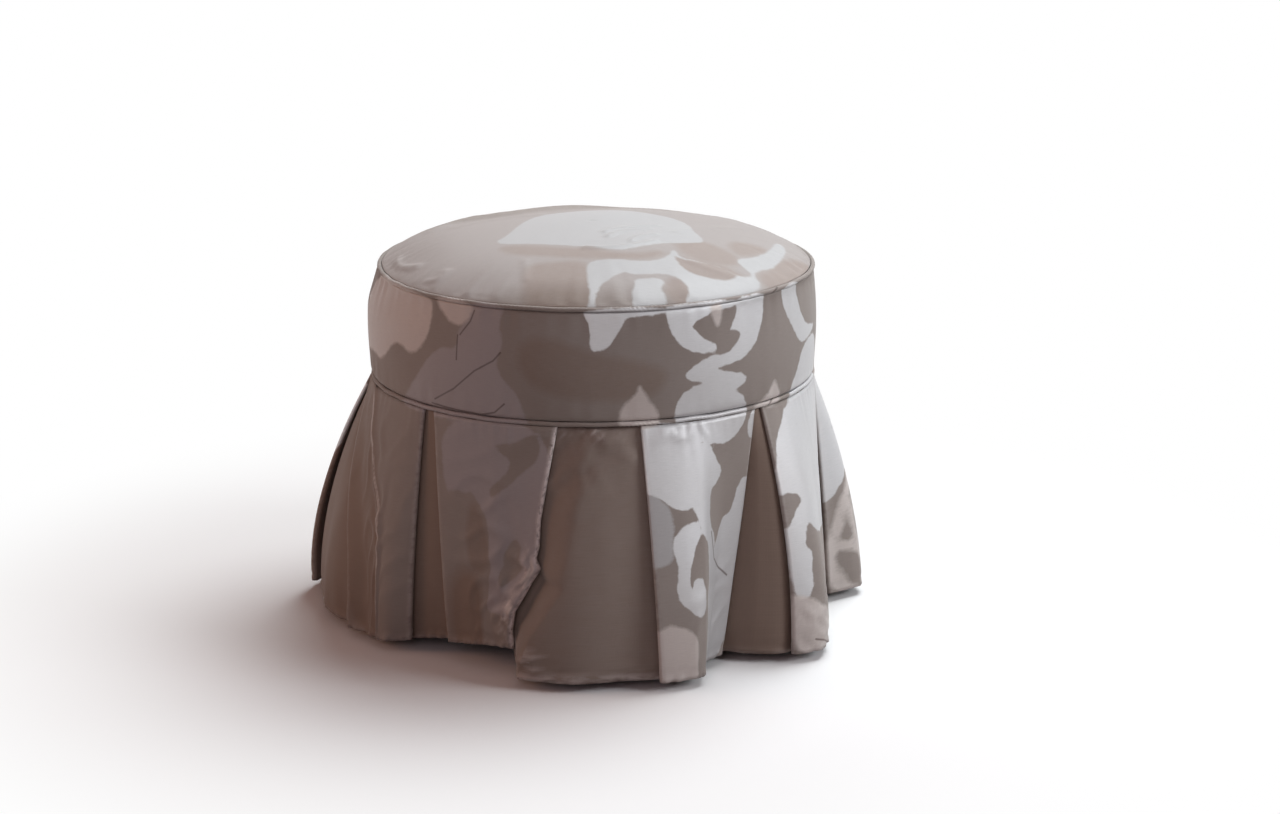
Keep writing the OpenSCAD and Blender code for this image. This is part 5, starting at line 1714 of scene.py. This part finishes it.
def dustCover():
    # Four quarters of a disc, each a grid of straight rays from the leg's hole out to the quarter's outline.
    # The quarters mirror one another, so their edges meet and are merged
    look = dustLook
    low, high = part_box("dust_cover")
    legLow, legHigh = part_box("leg_1")
    centre = np.array([(legLow[0] + legHigh[0]) / 2, (legLow[1] + legHigh[1]) / 2])
    edge = high[0]
    phi = math.pi / 4 + np.arange(look["columns"]) * 2 * math.pi / look["columns"]
    ray = np.stack([np.cos(phi), np.sin(phi)], 1)
    b = ray @ centre
    reach = -b + np.sqrt(b * b - centre @ centre + edge * edge)
    for axis in (0, 1):
        toward = ray[:, axis] < -1e-9
        reach = np.where(toward, np.minimum(reach, centre[axis] / np.where(toward, -ray[:, axis], 1)), reach)
    share = np.linspace(0, 1, look["rings"])[:, None, None] ** look["crowd"]
    hole = centre + ray * look["hole"]
    rim = centre + ray * reach[:, None]
    flat = hole[None] * (1 - share) + rim[None] * share
    quarters = [flat * np.array([sx, sy]) for sx, sy in ((1, 1), (-1, 1), (-1, -1), (1, -1))]
    rows, columns = flat.shape[:2]
    r, c = (g.ravel() for g in np.meshgrid(np.arange(rows - 1), np.arange(columns), indexing="ij"))
    after = (c + 1) % columns
    ring, outer = r * columns, (r + 1) * columns
    quads = np.stack([ring + c, ring + after, outer + after, outer + c], 1)
    points, faces = [], []
    for i, quarter in enumerate(quarters):
        x, y = quarter.reshape(-1, 2).T
        sag = -look["sag"] * smoothStep(edge * look["sagFrom"], 0, np.hypot(x, y))
        sag = sag + look["ripple"] * np.sin(look["rippleWays"][0] * x + look["rippleWays"][1] * y)
        points.append(np.stack([x, y, high[2] - look["thick"] / 2 - look["below"] + sag], 1))
        faces.append((quads if i % 2 == 0 else quads[:, ::-1]) + i * rows * columns)
    mesh = bpy.data.meshes.new("dustCover")
    mesh.from_pydata(np.concatenate(points).tolist(), [], np.concatenate(faces).tolist())
    obj = addObject("dustCover", mesh)
    weld = obj.modifiers.new("weld", "WELD")
    weld.merge_threshold = look["weld"]
    solid = obj.modifiers.new("thickness", "SOLIDIFY")
    solid.thickness = look["thick"]
    solid.offset = 0
    applyModifiers(obj)
    co = np.empty(len(obj.data.vertices) * 3, np.float32)
    obj.data.vertices.foreach_get("co", co)
    loops = np.empty(len(obj.data.loops), np.int32)
    obj.data.loops.foreach_get("vertex_index", loops)
    uv = co.reshape(-1, 3)[loops][:, :2]
    obj.data.uv_layers.new(name="cloth").data.foreach_set("uv", uv.ravel())
    obj.data.polygons.foreach_set("use_smooth", np.ones(len(obj.data.polygons), bool))
    addPiece(obj, "black_cambric", "dust_cover")


# Staples: a crown and two short legs bent from one wire, seated with the crown on the cloth

stapleLook = {
    "crown": 10 * mm,
    "wire": 0.6 * mm,
    "leg": 1.2 * mm,
    "perEnd": 5,
    "fromEnd": 10 * mm,
    "stagger": 5 * mm,
    "pitch": 9 * mm,
    "lean": 0.2,
    "onDust": 40,
    "dustInset": 6 * mm,
    "dustBelow": 0.3 * mm,
    "dustScatter": 0.02,
    "dustLean": 0.15,
}


def stapleBox():
    # The staple's three bars as one U of square wire: profile corners carried along four points
    half, wire, leg = stapleLook["crown"] / 2, stapleLook["wire"] / 2, stapleLook["leg"]
    path = np.array([[-half, 0, -leg], [-half, 0, 0], [half, 0, 0], [half, 0, -leg]])
    side = np.array([[-1, 0, 0], [-0.7, 0, 0.7], [0.7, 0, 0.7], [1, 0, 0]])
    corners = [(1, 1), (1, -1), (-1, -1), (-1, 1)]
    points = np.array([[p + s * wire * a + np.array([0, wire * b, 0]) for a, b in corners]
                       for p, s in zip(path, side)])
    points[1:3, :, 2] += wire * 0.6
    return points.reshape(-1, 3)


def makeStaples(name, seats, down):
    # Seats are (x, y, z, turn). The U's four rings of four corners are joined by quads and capped, and
    # every staple is the same shape turned round z and moved to its seat
    shape = stapleBox() * np.array([1, 1, -1 if down else 1])
    quads = [[r * 4 + c, r * 4 + (c + 1) % 4, (r + 1) * 4 + (c + 1) % 4, (r + 1) * 4 + c]
             for r in range(3) for c in range(4)] + [[3, 2, 1, 0], [12, 13, 14, 15]]
    quads = np.array(quads)
    if down:
        quads = quads[:, ::-1]
    seats = np.asarray(seats)
    c, s = np.cos(seats[:, 3])[:, None], np.sin(seats[:, 3])[:, None]
    x = seats[:, :1] + shape[None, :, 0] * c - shape[None, :, 1] * s
    y = seats[:, 1:2] + shape[None, :, 0] * s + shape[None, :, 1] * c
    z = seats[:, 2:3] + shape[None, :, 2]
    points = np.stack([x, y, z], -1).reshape(-1, 3)
    faces = (quads[None] + np.arange(len(seats))[:, None, None] * len(shape)).reshape(-1, 4)
    mesh = bpy.data.meshes.new(name)
    mesh.from_pydata(points.tolist(), [], faces.tolist())
    addPiece(addObject(name, mesh), "plated_steel")


def staples():
    # Rows across each folded strap end, by turns further in and out, and one ring round the dust cover
    look = stapleLook
    seats = []
    top = frameTopZ + 2 * webbingLook["thick"] + stool["gap"]
    for number in range(1, 2 * webbingLook["straps"] + 1):
        points, off, turned = strapNumber(number)
        inner = abs(points[1][0]) - look["fromEnd"]
        for end in (-1, 1):
            for j in range(look["perEnd"]):
                side = j - look["perEnd"] // 2
                x, y = end * (inner - (j % 2) * look["stagger"]), off + side * look["pitch"]
                place = (-y, x) if turned else (x, y)
                seats.append((*place, top, (0 if turned else math.pi / 2) + look["lean"] * side))
    makeStaples("webbingStaples", seats, False)
    low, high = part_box("dust_cover")
    edge = high[0] - look["dustInset"]
    count = look["onDust"]
    rng = np.random.default_rng(61)
    turn = (np.arange(count) + 0.5) * 2 * math.pi / count
    turn = turn + rng.uniform(-look["dustScatter"], look["dustScatter"], count)
    lean = rng.uniform(-look["dustLean"], look["dustLean"], count)
    seats = [(edge * math.cos(a), edge * math.sin(a), low[2] - look["dustBelow"], a + math.pi / 2 + b)
             for a, b in zip(turn, lean)]
    makeStaples("dustCoverStaples", seats, True)


bpy.context.scene.view_settings.view_transform = "Standard"
addCamera()
addLamps()
addFloor()
dressCadNodes()
print("studio ready")
topCover()
sideCover()
makeWelts()
print("covers ready")
skirt()
skirtLining()
print("skirt ready")
padding()
hessianDeck()
webbing()
dustCover()
staples()
print("inside ready")
